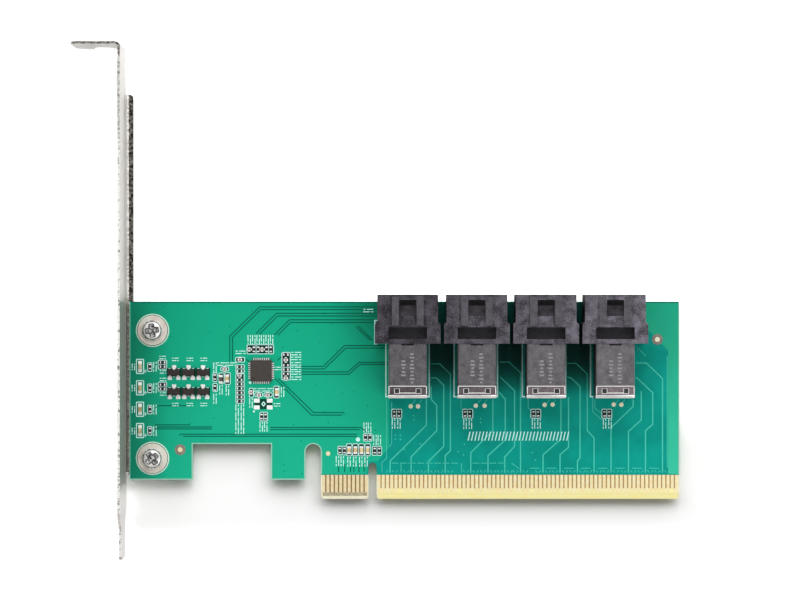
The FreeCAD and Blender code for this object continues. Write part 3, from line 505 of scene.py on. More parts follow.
boss_nylon = surface("glass_filled_nylon_rubbed", moulded_colour, 1.2, "#3d393f", "#55525a",
                     "#6d6a72", Roughness=0.58, **MOULDED)
insert_plastic = surface("moulded_insert_black", moulded_colour, 0.55, "#1a181c", "#302d34",
                         "#46424a", Roughness=0.55, **MOULDED)
package = surface("moulded_epoxy_package", moulded_colour, 0.35, "#1c1311", "#32241f",
                  "#584842", Roughness=0.52, **MOULDED)
chip_package = surface("moulded_epoxy_chip", moulded_colour, 0.9, "#35312c", "#3e3934",
                       "#4e4842", Roughness=0.55, **MOULDED)

# Fired ceramic, glaze and bare laminate of the small parts: close, even and slightly satin.
FIRED = {"relief": (0.12, 0.003, 0.5), "IOR": 1.60}
fiducial_mask = surface("bare_laminate_ring", blotches, 0.8, "#7d7469", "#978c80",
                        Roughness=0.55, **FIRED)
resistor_glaze = surface("resistor_glaze", blotches, 0.8, "#0c0c0e", "#18181b",
                         Roughness=0.35, **FIRED)
bead_ferrite = surface("fired_ferrite", blotches, 0.8, "#4e4540", "#6a5f59",
                       Roughness=0.45, **FIRED)
lamp_base = surface("lamp_base_laminate", blotches, 0.8, "#f2f0e6", "#fffef6",
                    Roughness=0.50, **FIRED)


# Capacitor ceramic: grey in the small ones, and tan in the large ones, which stand by the key
# notch and at two places beside the chip.
KEY_CAPACITORS = 14.0
LARGE_REACH = 1.2
LARGE_CAPACITORS = ((-34.1, 28.3, 1.2), (-22.6, 25.2, 1.2))


def capacitor_colour(tree):
    grey = blotches(tree, 0.8, "#9a8c84", "#b5a8a0")
    tan = blotches(tree, 1.4, "#b79a6a", "#f2d89c")
    coats = [(beyond(tree, "Y", KEY_CAPACITORS, "LESS_THAN"), tan)]
    for spot in LARGE_CAPACITORS:
        near = add(tree, "ShaderNodeMath", {0: apart(tree, spot), 1: LARGE_REACH * MM},
                   operation="LESS_THAN")
        coats.append((near.outputs[0], tan))
    return layered(tree, grey, *coats)


capacitor_ceramic = surface("capacitor_ceramic", capacitor_colour, Roughness=0.42, **FIRED)

# Clear-to-yellow cast epoxy of the lamps: wet gloss with light passing into it.
lamp_lens = surface("cast_lamp_epoxy", blotches, 0.9, "#cda858", "#ffeec4", Roughness=0.18,
                    IOR=1.54, Transmission_Weight=0.25)


def dress(node, material, edge=0.0, segments=2):
    """Gives a CAD node its finish and, where it has an edge size, a small worn edge."""
    piece = nodes[node]
    piece.data.materials.clear()
    piece.data.materials.append(material)
    if edge:
        weld = piece.modifiers.new("weld", "WELD")
        weld.merge_threshold = WELD
        bevel = piece.modifiers.new("worn_edge", "BEVEL")
        bevel.width = edge * MM
        bevel.segments = segments
        bevel.limit_method = "ANGLE"
        bevel.angle_limit = math.radians(35)
        bevel.harden_normals = False


dress("circuit_board", laminate)
dress("edge_contacts_front", gold)
dress("edge_contacts_back", gold)
dress("mounting_bracket", bracket_steel, 0.10)
dress("bracket_screws", screw_steel)
dress("screw_washers", washer_steel, 0.10)
for number in PORTS:
    name = "port_%d_" % number
    dress(name + "shroud", shroud_nylon, 0.05, 1)
    dress(name + "contact_block", insert_plastic, 0.06)
    dress(name + "contacts", gold)
    dress(name + "rear_cover", cover_nylon, 0.08)
    dress(name + "rear_clip", clip_steel, 0.10)
dress("clock_chip", chip_package, 0.06)
dress("clock_chip_terminals", dull_tin)
for number in TRANSISTORS:
    dress("transistor_%d" % number, package, 0.06)
dress("transistor_leads", dull_tin)
for number in range(1, 5):
    dress("status_lamp_%d" % number, lamp_lens, 0.06)
dress("status_lamp_bases", lamp_base)
dress("chip_resistors", resistor_glaze, 0.03)
dress("ceramic_capacitors", capacitor_ceramic)
dress("ceramic_capacitor_caps", dull_tin, 0.05)
dress("ferrite_bead", bead_ferrite)
dress("ferrite_bead_caps", dull_tin, 0.05)


# Outlines, as loops of points in millimetres

def rect(x0, x1, y0, y1):
    return [(x0, y0), (x1, y0), (x1, y1), (x0, y1)]


def arc(x, y, radius, start, end, steps):
    """Points round a middle, from one angle to another in degrees."""
    turns = [math.radians(start + (end - start) * i / steps) for i in range(steps + 1)]
    return [(x + radius * math.cos(a), y + radius * math.sin(a)) for a in turns]


def disc(x, y, radius, steps=24):
    return arc(x, y, radius, 0, 360, steps)[:-1]


def rounded(x0, x1, y0, y1, radius, steps=4):
    loop = []
    for x, y, start in ((x1 - radius, y1 - radius, 0), (x0 + radius, y1 - radius, 90),
                        (x0 + radius, y0 + radius, 180), (x1 - radius, y0 + radius, 270)):
        loop += arc(x, y, radius, start, start + 90, steps)
    return loop


def line(points, width):
    """Loop round a bent line of even width, with mitred corners."""
    points = [Vector(p) for p in points]
    runs = [(b - a).normalized() for a, b in zip(points, points[1:])]
    before_side, after_side = [], []
    for i, point in enumerate(points):
        before = runs[max(i - 1, 0)]
        after = runs[min(i, len(runs) - 1)]
        along = (before + after).normalized()
        across = Vector((-along.y, along.x))
        reach = width / 2 / max(along.dot(after), 0.3)
        before_side.append(tuple(point + across * reach))
        after_side.append(tuple(point - across * reach))
    return before_side + after_side[::-1]


def border(x0, x1, y0, y1, radius, width):
    """Outline drawn with an even line: outer loop and hole."""
    inner = max(radius - width, 0.02)
    return [rounded(x0, x1, y0, y1, radius),
            rounded(x0 + width, x1 - width, y0 + width, y1 - width, inner)]


def settle(piece, material):
    """Puts a new piece in the scene, on the card's only body."""
    bpy.context.scene.collection.objects.link(piece)
    piece.data.materials.append(material)
    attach(piece, "root")
    return piece


def closed_piece(name, mesh, material):
    """Piece from a finished mesh, with all its faces turned outward."""
    bmesh.ops.recalc_face_normals(mesh, faces=mesh.faces)
    data = bpy.data.meshes.new(name)
    mesh.to_mesh(data)
    mesh.free()
    return settle(bpy.data.objects.new(name, data), material)


def plates(name, shapes, z0, z1, material):
    """One piece of closed flat plates. Each shape is a loop, or a list of a loop and its holes."""
    mesh = bmesh.new()
    for shape in shapes:
        loops = [shape] if isinstance(shape[0], tuple) else shape
        flat = [[Vector((x * MM, y * MM, 0)) for x, y in loop] for loop in loops]
        floors, roofs = [], []
        for loop in flat:
            low = [mesh.verts.new((p.x, p.y, z0 * MM)) for p in loop]
            high = [mesh.verts.new((p.x, p.y, z1 * MM)) for p in loop]
            for i in range(len(loop)):
                j = (i + 1) % len(loop)
                mesh.faces.new((low[i], low[j], high[j], high[i]))
            floors += low
            roofs += high
        for corners in tessellate_polygon(flat):
            if len(set(corners)) == 3:
                mesh.faces.new([roofs[c] for c in corners])
                mesh.faces.new([floors[c] for c in reversed(corners)])
    return closed_piece(name, mesh, material)


def on_top(name, shapes, height, material):
    return plates(name, shapes, BOARD_TOP, BOARD_TOP + height, material)


def on_back(name, shapes, height, material):
    return plates(name, shapes, BOARD_BACK - height, BOARD_BACK, material)


# Copper pour on the component side, and the mask between the ports with its painted shade
EDGE = 0.30
POUR_LEVEL = MASK_EDGE + 0.25
POUR_END = 3.90
PORT_SIDE = 5.10


def lower_edge(inset):
    """Points along the lower outline, from the bracket end to the contact edge."""
    radius = (TAB_LEFT - RELIEF_LEFT) / 2
    head = arc((RELIEF_LEFT + TAB_LEFT) / 2, RELIEF_TOP - radius, radius + inset, 180, 0, 12)
    return [(left + inset, SHOULDER + inset), (LOBE_RIGHT - inset, SHOULDER + inset),
            (LOBE_RIGHT - inset, NOTCH_TOP + inset), (NOTCH_RIGHT + inset, NOTCH_TOP + inset),
            (NOTCH_RIGHT + inset, SHOULDER + inset), (RELIEF_LEFT - inset, SHOULDER + inset),
            *head, (TAB_LEFT + inset, POUR_LEVEL)]


up_to_key = [(left + EDGE, top - EDGE), *lower_edge(EDGE), (-KEY_HALF - EDGE, POUR_LEVEL),
             (-KEY_HALF - EDGE, KEY_TOP + EDGE), (KEY_HALF + EDGE, KEY_TOP + EDGE)]
main_pour = up_to_key + [(2.60, 10.70), (POUR_END, 12.10), (POUR_END, top - EDGE)]
end_pour = [(69.50, POUR_LEVEL), (right - EDGE, POUR_LEVEL), (right - EDGE, top - EDGE),
            (62.80, top - EDGE), (62.80, 41.70), (65.00, 39.50), (69.50, 34.90)]
shaded_gap_plates = [rect(port_middle[number - 1] + PORT_SIDE, port_middle[number] - PORT_SIDE,
                  GAP_START, top - EDGE) for number in PORTS[1:]]
on_top("mask_between_ports", shaded_gap_plates, POUR * 0.8, port_gap_shade_mask)
on_top("copper_pour", [main_pour], POUR, pour_mask)
on_top("end_pour", [end_pour], POUR, end_mask)

# Strips at the cut edges: a painted highlight along the sides and lower edges, and painted shade
# along the top edge
RIM_WIDTH, FAR_RIM_WIDTH, RIM_STOP = 0.26, 0.20, 0.1
rim_half = RIM_WIDTH / 2
rims = [line(lower_edge(rim_half), RIM_WIDTH),
        rect(left, left + rim_half, SHOULDER + RIM_STOP, top - RIM_STOP),
        line(((right - rim_half, MASK_EDGE + RIM_STOP), (right - rim_half, top - RIM_STOP)),
             FAR_RIM_WIDTH)]
on_top("painted_highlight_edges", rims, RIM, edge_highlight_mask)
on_top("painted_shade_top_edge", [rect(left + 0.35, right - 0.25, top - EDGE, top)], RIM, top_edge_shade_mask)

# Gaps beside the tracks that cross the pour, drawn as pairs of dark lines
GAP_WIDTH = 0.26
gaps = [
    ((2.0, 45.20), (-26.56, 45.20), (-33.58, 38.33), (-33.58, 32.33)),
    ((2.0, 44.57), (-26.30, 44.57), (-32.94, 38.06), (-32.94, 32.33)),
    ((2.0, 43.69), (-22.60, 43.69), (-27.46, 38.85)),
    ((2.0, 43.05), (-22.33, 43.05), (-26.60, 38.78)),
    ((2.0, 42.16), (-19.55, 42.16), (-23.13, 38.60)),
    ((2.0, 41.53), (-19.29, 41.53), (-22.30, 38.50)),
    ((-17.0, 31.20), (-11.60, 31.20), (-6.60, 36.10), (3.7, 36.10)),
    ((-17.0, 30.60), (-11.35, 30.60), (-6.30, 35.50), (3.7, 35.50)),
    ((-17.0, 29.90), (-5.80, 29.90), (-3.20, 32.15), (3.7, 32.15)),
    ((-17.0, 29.35), (-5.55, 29.35), (-2.95, 31.65), (3.7, 31.65)),
    ((-22.90, 28.30), (-14.40, 19.75), (-7.2, 19.75)),
    ((-22.20, 28.40), (-13.90, 20.35), (-6.7, 20.35)),
    ((-24.1, 16.85), (-3.0, 16.85)), ((-24.1, 16.35), (-3.0, 16.35)),
    ((-45.3, 15.25), (-3.7, 15.25)), ((-44.6, 14.75), (-3.7, 14.75)),
    ((-51.2, 17.45), (-42.9, 17.45)), ((-51.2, 16.95), (-37.8, 16.95)),
    ((-51.2, 16.50), (-37.8, 16.50)), ((-50.7, 21.95), (-43.5, 21.95)),
    ((-3.9, 40.55), (-0.5, 37.30)), ((-3.4, 40.75), (0.1, 37.30)),
    ((-22.4, 32.6), (-20.9, 34.0)), ((-29.8, 32.9), (-29.0, 32.3)),
    ((-2.9, 16.9), (-1.6, 15.9)), ((-8.0, 9.4), (-8.0, 6.3)),
]
gaps += [((x, 8.3), (x, 6.3)) for x in (-6.6, -5.2, -4.4, -3.2, -2.0)]
on_top("pour_gaps", [line(points, GAP_WIDTH) for points in gaps], GAP_LINE, gap_mask)

# Feed-through holes under the mask, as faint dots
VIA, FEED_THROUGH, BACK_VIA = 0.20, 0.17, 0.30
vias = (
    (-42.9, 17.75), (-45.4, 15.0), (-6.7, 20.05), (-53.3, 20.9), (-53.3, 19.6), (-49.1, 45.3),
    (-38.3, 39.3), (-33.7, 40.6), (-11.5, 43.6), (-17.9, 39.6), (-21.2, 35.6), (-8.5, 35.0),
    (-11.2, 20.5), (-10.4, 18.0), (-16.8, 13.6), (-18.6, 17.5), (-28.3, 44.3), (-47.6, 38.1),
    (-7.2, 24.9), (-4.4, 25.3), (-1.2, 22.0), (-13.2, 27.0), (-37.4, 19.0), (-40.0, 13.9),
    (-16.6, 5.9), (-20.9, 8.1), (-20.8, 6.6), (0.7, 16.2), (-12.4, 36.8), (-9.6, 41.2),
)
on_top("pour_vias", [disc(x, y, VIA, 12) for x, y in vias], GAP_LINE, via_mask)

# Lane tracks from the contacts to the ports. Each starts at its contact and bends where given.
LANE_WIDTH = 0.27
LANE_START = 6.2
lane_bends = (
    (4.12, (4.12, 8.94), (12.64, 17.36), (12.64, 23.5)),
    (9.06, (9.06, 9.93), (15.1, 16.1), (15.1, 22.05), (13.8, 23.4), (13.76, 26.5)),
    (13.13, (13.13, 8.82), (16.73, 12.4), (16.73, 26.8), (15.0, 28.5), (13.8, 28.5)),
    (17.08, (17.08, 10.2), (18.3, 11.4), (18.3, 29.4), (15.8, 31.8), (13.8, 31.8)),
    (23.1, (23.1, 10.9), (28.3, 16.1), (28.3, 23.5)),
    (27.15, (27.15, 10.2), (31.2, 13.9), (31.2, 23.5), (29.8, 25.1)),
    (31.1, (31.1, 9.9), (33.4, 12.4), (33.4, 25.5), (30.0, 28.7)),
    (34.8, (34.8, 29.7), (32.1, 32.2), (30.0, 32.2)),
    (40.1, (40.1, 10.4), (44.3, 14.1), (44.3, 23.5)),
    (44.1, (44.1, 10.4), (46.1, 12.2), (46.1, 24.0)),
    (48.2, (48.2, 8.9), (48.8, 9.7), (48.8, 26.5), (46.8, 28.4), (45.8, 28.7)),
    (52.1, (52.1, 14.4), (50.5, 16.1), (50.5, 29.4), (47.9, 31.9), (45.8, 31.9)),
    (56.1, (56.1, 16.8), (61.3, 21.8), (61.3, 23.3)),
    (60.2, (60.2, 15.9), (63.2, 18.6), (63.2, 25.0)),
    (64.2, (64.2, 16.1), (65.9, 17.6), (65.9, 25.0), (62.2, 28.5), (61.8, 28.5)),
    (68.2, (68.2, 28.35), (64.4, 32.0), (61.9, 32.0)),
)
lanes = [line(((x, LANE_START), *bends), LANE_WIDTH) for x, *bends in lane_bends]

# Thin tracks beside the ports, the resistor pairs and the test pads
FINE = 0.16
test_pads = ((-10.47, 10.70), (8.99, 21.81), (10.68, 21.81), (24.28, 21.95), (26.35, 21.95),
             (40.47, 22.16), (42.35, 22.21), (56.73, 22.24), (58.52, 22.19))
fine_tracks = [
    ((4.5, 22.8), (4.5, 13.0), (3.9, 12.3)), ((20.8, 23.6), (20.8, 21.4), (21.6, 20.7)),
    ((36.6, 23.6), (36.6, 21.4), (37.4, 20.7)), ((52.3, 23.4), (52.3, 21.4), (54.1, 19.9)),
    ((51.8, 24.0), (51.8, 20.6), (53.9, 18.6)), ((61.9, 36.1), (64.3, 33.6)),
    ((3.3, 23.4), (3.3, 9.6), (2.2, 8.6), (2.2, 6.3)), ((69.3, 33.6), (69.3, 7.4)),
]
for x, _ in test_pads[1::2]:
    fine_tracks.append(((x + 0.25, 22.3), (x + 1.2, 23.4)))
    fine_tracks.append(((x + 1.95, 22.4), (x + 2.6, 23.4)))

# Dashed links just above the contacts, and the short slants that leave each pair
DASH, DASH_PITCH, DASH_LEVEL = 1.6, 2.0, 8.45
for x, end in ((4.5, 20.5), (23.5, 32.7)):
    while x + DASH < end:
        fine_tracks.append(((x, DASH_LEVEL), (x + DASH, DASH_LEVEL)))
        x += DASH_PITCH
fine_tracks += [((6.7, DASH_LEVEL), (6.7, 6.3)), ((20.9, DASH_LEVEL), (20.9, 6.3)),
                ((32.7, DASH_LEVEL), (34.4, 7.2))]
SLANT_TOP, SLANT_LOW, FIRST_SLANT, LINK_LEVEL, FIRST_LINK = 6.75, 6.25, 2.35, 7.25, 36.0
for x, *_ in lane_bends:
    for start, end in ((-1.8, -1.4), (-0.5, -0.9), (0.5, 0.9), (1.8, 1.4)):
        if FIRST_SLANT < x + start < right - 0.8:
            fine_tracks.append(((x + start, SLANT_TOP), (x + end, SLANT_LOW)))
    if x > FIRST_LINK:
        fine_tracks.append(((x - 3.15, LINK_LEVEL), (x - 0.85, LINK_LEVEL)))
lanes += [line(points, FINE) for points in fine_tracks]
feed_throughs = (
    (9.65, 19.60), (9.72, 18.61), (5.36, 15.01), (6.56, 15.01), (5.36, 14.05), (6.56, 14.05),
    (11.22, 12.99), (7.55, 11.65), (20.1, 11.1), (21.4, 10.4), (37.6, 10.9), (38.3, 9.2),
    (25.4, 18.9), (25.4, 18.0), (21.6, 12.9), (63.2, 25.2), (62.2, 34.9), (6.3, 16.9),
)
lanes += [disc(x, y, FEED_THROUGH, 10) for x, y in feed_throughs]
on_top("lane_tracks", lanes, TRACE, trace_mask)

# Places of the screen-printed outlines round the parts
LAMP_LEVELS = (16.10, 21.13, 26.16, 31.19)
KEY_ROW = (-6.20, -4.80, -3.33, -1.88, -0.42)
part_frames = [(-52.99, -51.81, y, y + 2.19) for y in (29.95, 24.95, 19.95, 14.95)]
part_frames += [(-50.52, -48.35, y, y + 2.26) for y in (30.47, 25.32)]
part_frames += [
    (-37.65, -36.47, 27.58, 29.76), (-37.65, -36.47, 25.20, 27.29),
    (-35.76, -33.79, 30.07, 31.15), (-36.24, -34.87, 27.10, 29.74),
    (-34.87, -33.39, 26.89, 29.80), (-32.31, -30.02, 32.14, 33.41),
    (-32.24, -30.12, 29.58, 31.67), (-32.24, -30.12, 22.42, 29.58),
    (-29.60, -23.22, 34.07, 36.38), (-21.41, -19.27, 27.95, 34.56),
    (-29.08, -27.93, 23.91, 26.14), (-27.76, -25.79, 24.00, 25.06),
    (-25.62, -23.55, 24.00, 25.06), (-23.32, -21.91, 23.67, 26.64),
    (-26.61, -24.64, 18.30, 20.52), (-2.24, -0.05, 13.53, 15.48),
    (-0.14, 2.21, 10.20, 12.50), (-8.24, -6.12, 10.31, 12.49),
]
part_frames += [(x0, x1, 10.09, 13.08) for x0, x1 in zip(KEY_ROW, KEY_ROW[1:])]
part_frames += [(x0, x1, 18.94, 21.22) for x0, x1 in ((4.42, 6.94), (21.11, 23.65),
                                                      (37.15, 39.65), (53.85, 56.35))]

# Round the pads the copper stands back, and the mask inside each outline is dark, partly as painted
# shade under and between the parts
CLEAR_INSET, CHIP_CLEAR = 0.12, 0.45
LEAD_SIDE, LEAD_BELOW, LEAD_ABOVE = 0.20, 0.42, 0.36
EMPTY_PLACE = (-27.85, -23.60, 21.15, 23.55)
clear = [rect(x0 + CLEAR_INSET, x1 - CLEAR_INSET, y0 + CLEAR_INSET, y1 - CLEAR_INSET)
         for x0, x1, y0, y1 in part_frames]
clear.append(rect(*EMPTY_PLACE))
for side, end in ((CHIP_CLEAR, -CHIP_CLEAR), (-CHIP_CLEAR, CHIP_CLEAR)):
    clear.append(rect(chip_low.x - side, chip_high.x + side, chip_low.y - end, chip_high.y + end))
for low, high in transistors:
    clear.append(rect(low.x - LEAD_SIDE, high.x + LEAD_SIDE, low.y - LEAD_BELOW,
                      high.y + LEAD_ABOVE))
on_top("pad_clearances_and_painted_shade", clear, RIM, clearance_and_shade_mask)

# The outlines, with lines between neighbours that share one
INK_WIDTH, FRAME_CORNER, CLOSEST, WIDEST = 0.17, 0.35, 0.15, 1.0
printed = [border(*box, FRAME_CORNER, INK_WIDTH) for box in part_frames]
resistors = solids_of("chip_resistors")
for x0, x1, y0, y1 in part_frames:
    inside = [box for box in resistors if x0 < (box[0].x + box[1].x) / 2 < x1
              and y0 < (box[0].y + box[1].y) / 2 < y1]
    for axis, ends in ((0, (y0, y1)), (1, (x0, x1))):
        row = sorted(inside, key=lambda box: box[0][axis])
        for before, after in zip(row, row[1:]):
            middle = (before[1][axis] + after[0][axis]) / 2
            if CLOSEST < after[0][axis] - before[1][axis] < WIDEST:
                strip = (middle - INK_WIDTH / 2, middle + INK_WIDTH / 2)
                printed.append(rect(*strip, *ends) if axis == 0 else rect(*ends, *strip))

# Outline and plus mark of each lamp
for y in LAMP_LEVELS:
    printed.append(border(-55.65, -53.75, y - 1.78, y + 1.78, 0.25, 0.22))
    printed.append(rect(-53.90, -53.10, y - 1.20, y - 1.02))
    printed.append(rect(-53.59, -53.41, y - 1.52, y - 0.72))

# Dots beside the key notch, the chip and the empty crystal place, and that place's diamond
printed += [disc(-3.44, 14.00, 0.50), disc(-28.80, 27.41, 0.34), disc(-27.91, 20.61, 0.25)]
printed.append([[(-26.2, 22.35), (-25.65, 21.70), (-25.1, 22.35), (-25.65, 23.00)],
                [(-25.9, 22.35), (-25.65, 22.65), (-25.4, 22.35), (-25.65, 22.05)]])

# Dashes at the transistors' feet, lines beside the ports and a hook before the first port
LONE_HALF, PAIR_INNER, PAIR_OUTER = 0.32, 0.80, 1.35
PORT_LINE, PORT_LINE_START, PORT_LINE_END = 0.32, 4.2, 36.6
HOOK_LINE, HOOK_DEEP, HOOK_LOW, HOOK_HIGH = 0.27, 0.72, 36.5, 42.0
for low, high in transistors:
    x = (low.x + high.x) / 2
    printed.append(rect(x - LONE_HALF, x + LONE_HALF, low.y - 0.36, low.y - 0.20))
    for side in (-1, 1):
        ends = sorted((x + side * PAIR_INNER, x + side * PAIR_OUTER))
        printed.append(rect(*ends, high.y + 0.16, high.y + 0.32))
rear = COVER_REAR - 0.16
for x in port_middle.values():
    for side in (-1, 1):
        outer = x + side * PORT_SIDE
        points = ((x + side * PORT_LINE_START, rear), (outer, rear), (outer, PORT_LINE_END))
        printed.append(line(points, PORT_LINE))
hook = port_middle[1] - 7.0
printed.append(line(((hook, HOOK_LOW), (hook - HOOK_DEEP, HOOK_LOW),
                     (hook - HOOK_DEEP, HOOK_HIGH), (hook, HOOK_HIGH)), HOOK_LINE))

# Marks beside the parts, as short dashes: their length in pitches and places, those along X first
MARK_TALL, MARK_PITCH, MARK_STROKE = 0.58, 0.78, 0.19
MARK_CUT, MARK_GAP = 0.22, 0.07
level_marks = (
    (2, ((-49.39, 33.29), (-49.27, 29.90), (-49.27, 28.12), (-49.27, 24.70), (-46.40, 32.85),
         (-42.99, 32.85), (-39.72, 32.85), (-46.40, 22.24), (-42.99, 22.24), (-39.72, 22.24),
         (-22.38, 30.71), (-22.49, 22.16))),
    (3, ((-35.44, 31.75), (-33.15, 31.75), (-31.06, 34.52), (-17.95, 34.21), (-17.95, 33.08),
         (-17.95, 31.80), (-17.95, 30.73), (-17.95, 29.65), (-17.95, 28.42), (-26.69, 25.69),
         (-24.42, 25.69), (-0.99, 44.33))),
)
turned_marks = (
    (2, ((-56.26, 31.06), (-56.26, 26.12), (-56.26, 21.06), (-56.26, 16.00))),
    (3, ((-51.20, 31.13), (-51.20, 26.12), (-51.20, 21.06), (-51.20, 16.00), (-37.08, 30.96),
         (-37.08, 23.58), (-35.67, 25.74), (-34.14, 25.55), (-29.01, 37.41), (-27.95, 37.41),
         (-26.92, 37.41), (-25.88, 37.41), (-24.80, 37.41), (-23.76, 37.41), (-28.61, 22.62),
         (-21.18, 25.18), (-26.19, 17.01), (-25.13, 17.01), (-1.74, 16.81), (-0.71, 16.81),
         (0.56, 13.89), (1.58, 13.89), (-8.26, 8.91), (-7.13, 8.91), (-5.55, 8.79), (-4.19, 8.79),
         (-2.78, 8.79), (-1.52, 8.79), (4.94, 17.72), (6.21, 17.72), (21.74, 17.65),
         (23.01, 17.65), (37.86, 17.72), (39.15, 17.72), (54.56, 17.72), (55.86, 17.72),
         (-31.87, 21.09), (-31.87, 18.78), (-31.87, 16.48), (-30.62, 21.09), (-30.62, 18.78),
         (-30.62, 16.48))),
)


def dashes(x, y, long, turned):
    """Two rows of uneven dashes about a middle, along X or turned along Y."""
    shapes = []
    for level, cut in ((-MARK_TALL / 2, MARK_CUT), (MARK_TALL / 2, -MARK_CUT)):
        for start, end in ((-0.5, cut - MARK_GAP), (cut + MARK_GAP, 0.5)):
            box = (start * long, end * long, level - MARK_STROKE / 2, level + MARK_STROKE / 2)
            if turned:
                box = (-box[3], -box[2], box[0], box[1])
            shapes.append(rect(x + box[0], x + box[1], y + box[2], y + box[3]))
    return shapes


def hatching(x, y, count, tall, pitch, stroke):
    """Band of slanting strokes about a middle, along X."""
    lean = pitch * 0.30
    half = stroke / 2
    shapes = []
    for i in range(count):
        along = x + (i - (count - 1) / 2) * pitch
        shapes.append([(along - lean - half, y - tall / 2), (along - lean + half, y - tall / 2),
                       (along + lean + half, y + tall / 2), (along + lean - half, y + tall / 2)])
    return shapes


for turned, marks in enumerate((level_marks, turned_marks)):
    for pitches, places in marks:
        for x, y in places:
            printed += dashes(x, y, pitches * MARK_PITCH, turned)
printed += hatching(x=34.3, y=14.8, count=30, tall=2.1, pitch=0.80, stroke=0.25)
on_top("printed_marks", printed, INK, ink)

# Gold test pads, and fiducial dots in rings of bare laminate
TEST_PAD, FIDUCIAL, FIDUCIAL_RING = 0.52, 0.58, 1.28
fiducials = ((-45.25, 11.6), (67.0, 37.55))
dots = [disc(x, y, TEST_PAD) for x, y in test_pads]
dots += [disc(x, y, FIDUCIAL) for x, y in fiducials]
on_top("test_pads", dots, PAD, pad_gold)
rings = [[disc(x, y, FIDUCIAL_RING, 32), disc(x, y, FIDUCIAL)] for x, y in fiducials]
on_top("fiducial_rings", rings, RIM, fiducial_mask)

# Solder and end caps of the small parts
END_CAP, CAP_COAT, FILLET, LAMP_FILLET = 0.16, 0.015, 0.14, 0.50
SMALL_CAPACITOR, SMALL_CAP, LARGE_CAP = 0.8, 0.25, 0.35
SOLDER_SPREAD = 0.04


def ends_of(low, high):
    """Middle, outward direction and width of both ends of a two-ended part."""
    middle = (low + high) / 2
    if high.x - low.x > high.y - low.y:
        width = high.y - low.y
        return [((low.x, middle.y), (-1, 0), width), ((high.x, middle.y), (1, 0), width)]
    width = high.x - low.x
    return [((middle.x, low.y), (0, -1), width), ((middle.x, high.y), (0, 1), width)]


def sections(name, places, material):
    """One piece of short bars. Each place is a foot, an outward direction, a width and the bar's
    side view as points of (outward, height)."""
    mesh = bmesh.new()
    for foot, out, width, profile in places:
        across = Vector((-out[1], out[0], 0))
        rows = []
        for side in (-0.5, 0.5):
            start = Vector((foot[0], foot[1], BOARD_TOP)) + across * (width * side)
            rows.append([mesh.verts.new((start + Vector((out[0] * a, out[1] * a, z))) * MM)
                         for a, z in profile])
        near, far = rows
        mesh.faces.new(near)
        mesh.faces.new(far[::-1])
        for i in range(len(profile)):
            j = (i + 1) % len(profile)
            mesh.faces.new((near[i], far[i], far[j], near[j]))
    return closed_piece(name, mesh, material)


def fillet(height, reach):
    """Side view of solder that climbs the end of a part."""
    return [(-0.12, 0), (reach, 0), (reach, 0.04), (reach * 0.62, 0.05 + height * 0.14),
            (reach * 0.30, height * 0.42), (0.03, height * 0.86), (-0.12, height * 0.86)]


caps, solder = [], []
for low, high in resistors:
    tall = high.z - BOARD_TOP
    cap = [(-END_CAP, 0), (CAP_COAT, 0), (CAP_COAT, tall + CAP_COAT), (-END_CAP, tall + CAP_COAT)]
    for foot, out, width in ends_of(low, high):
        caps.append((foot, out, width + 2 * CAP_COAT, cap))
        solder.append((foot, out, width, fillet(tall, FILLET)))
for low, high in solids_of("ceramic_capacitors") + solids_of("ferrite_bead"):
    long = max(high.x - low.x, high.y - low.y)
    cap = SMALL_CAP if long < SMALL_CAPACITOR else LARGE_CAP
    for foot, out, width in ends_of(low, high):
        foot = (foot[0] + out[0] * cap, foot[1] + out[1] * cap)
        solder.append((foot, out, width + SOLDER_SPREAD, fillet(high.z - BOARD_TOP, FILLET)))
for low, high in solids_of("status_lamp_bases"):
    for foot, out, width in ends_of(low, high):
        solder.append((foot, out, width + SOLDER_SPREAD, fillet(high.z - BOARD_TOP, LAMP_FILLET)))
sections("resistor_end_caps", caps, dull_tin)
sections("solder_fillets", solder, dull_tin)

# Pads under the transistor feet, the chip's terminals and the empty crystal place
LEAD_PAD, LEAD_UNDER, LEAD_OUT, TERMINAL_REACH = 0.50, 0.40, 0.45, 0.08
EMPTY_PAD = (0.68, 0.48)
PIN_MARK, PIN_MARK_INSET = 0.28, 0.75
pads = []
for low, high in solids_of("transistor_leads"):
    middle = (low + high) / 2
    body = min(((a + b) / 2 for a, b in transistors), key=lambda c: (c - middle).length)
    foot, away = (high.y, 1) if middle.y > body.y else (low.y, -1)
    ends = sorted((foot - LEAD_UNDER * away, foot + LEAD_OUT * away))
    pads.append(rounded(middle.x - LEAD_PAD, middle.x + LEAD_PAD, *ends, 0.10))
for low, high in solids_of("clock_chip_terminals"):
    away = (low + high) / 2 - (chip_low + chip_high) / 2
    axis = 0 if abs(away.x) > abs(away.y) else 1
    if away[axis] > 0:
        high[axis] += TERMINAL_REACH
    else:
        low[axis] -= TERMINAL_REACH
    pads.append(rect(low.x, high.x, low.y, high.y))
wide, tall = EMPTY_PAD
for x in (-27.25, -24.20):
    for y in (21.55, 23.15):
        pads.append(rounded(x - wide, x + wide, y - tall, y + tall, 0.12))
on_top("tinned_pads", pads, PAD, dull_tin)
pin_mark = disc(chip_low.x + PIN_MARK_INSET, chip_low.y + PIN_MARK_INSET, PIN_MARK, 20)
plates("chip_first_pin_mark", [pin_mark], chip_high.z - 0.02, chip_high.z + 0.012, package)

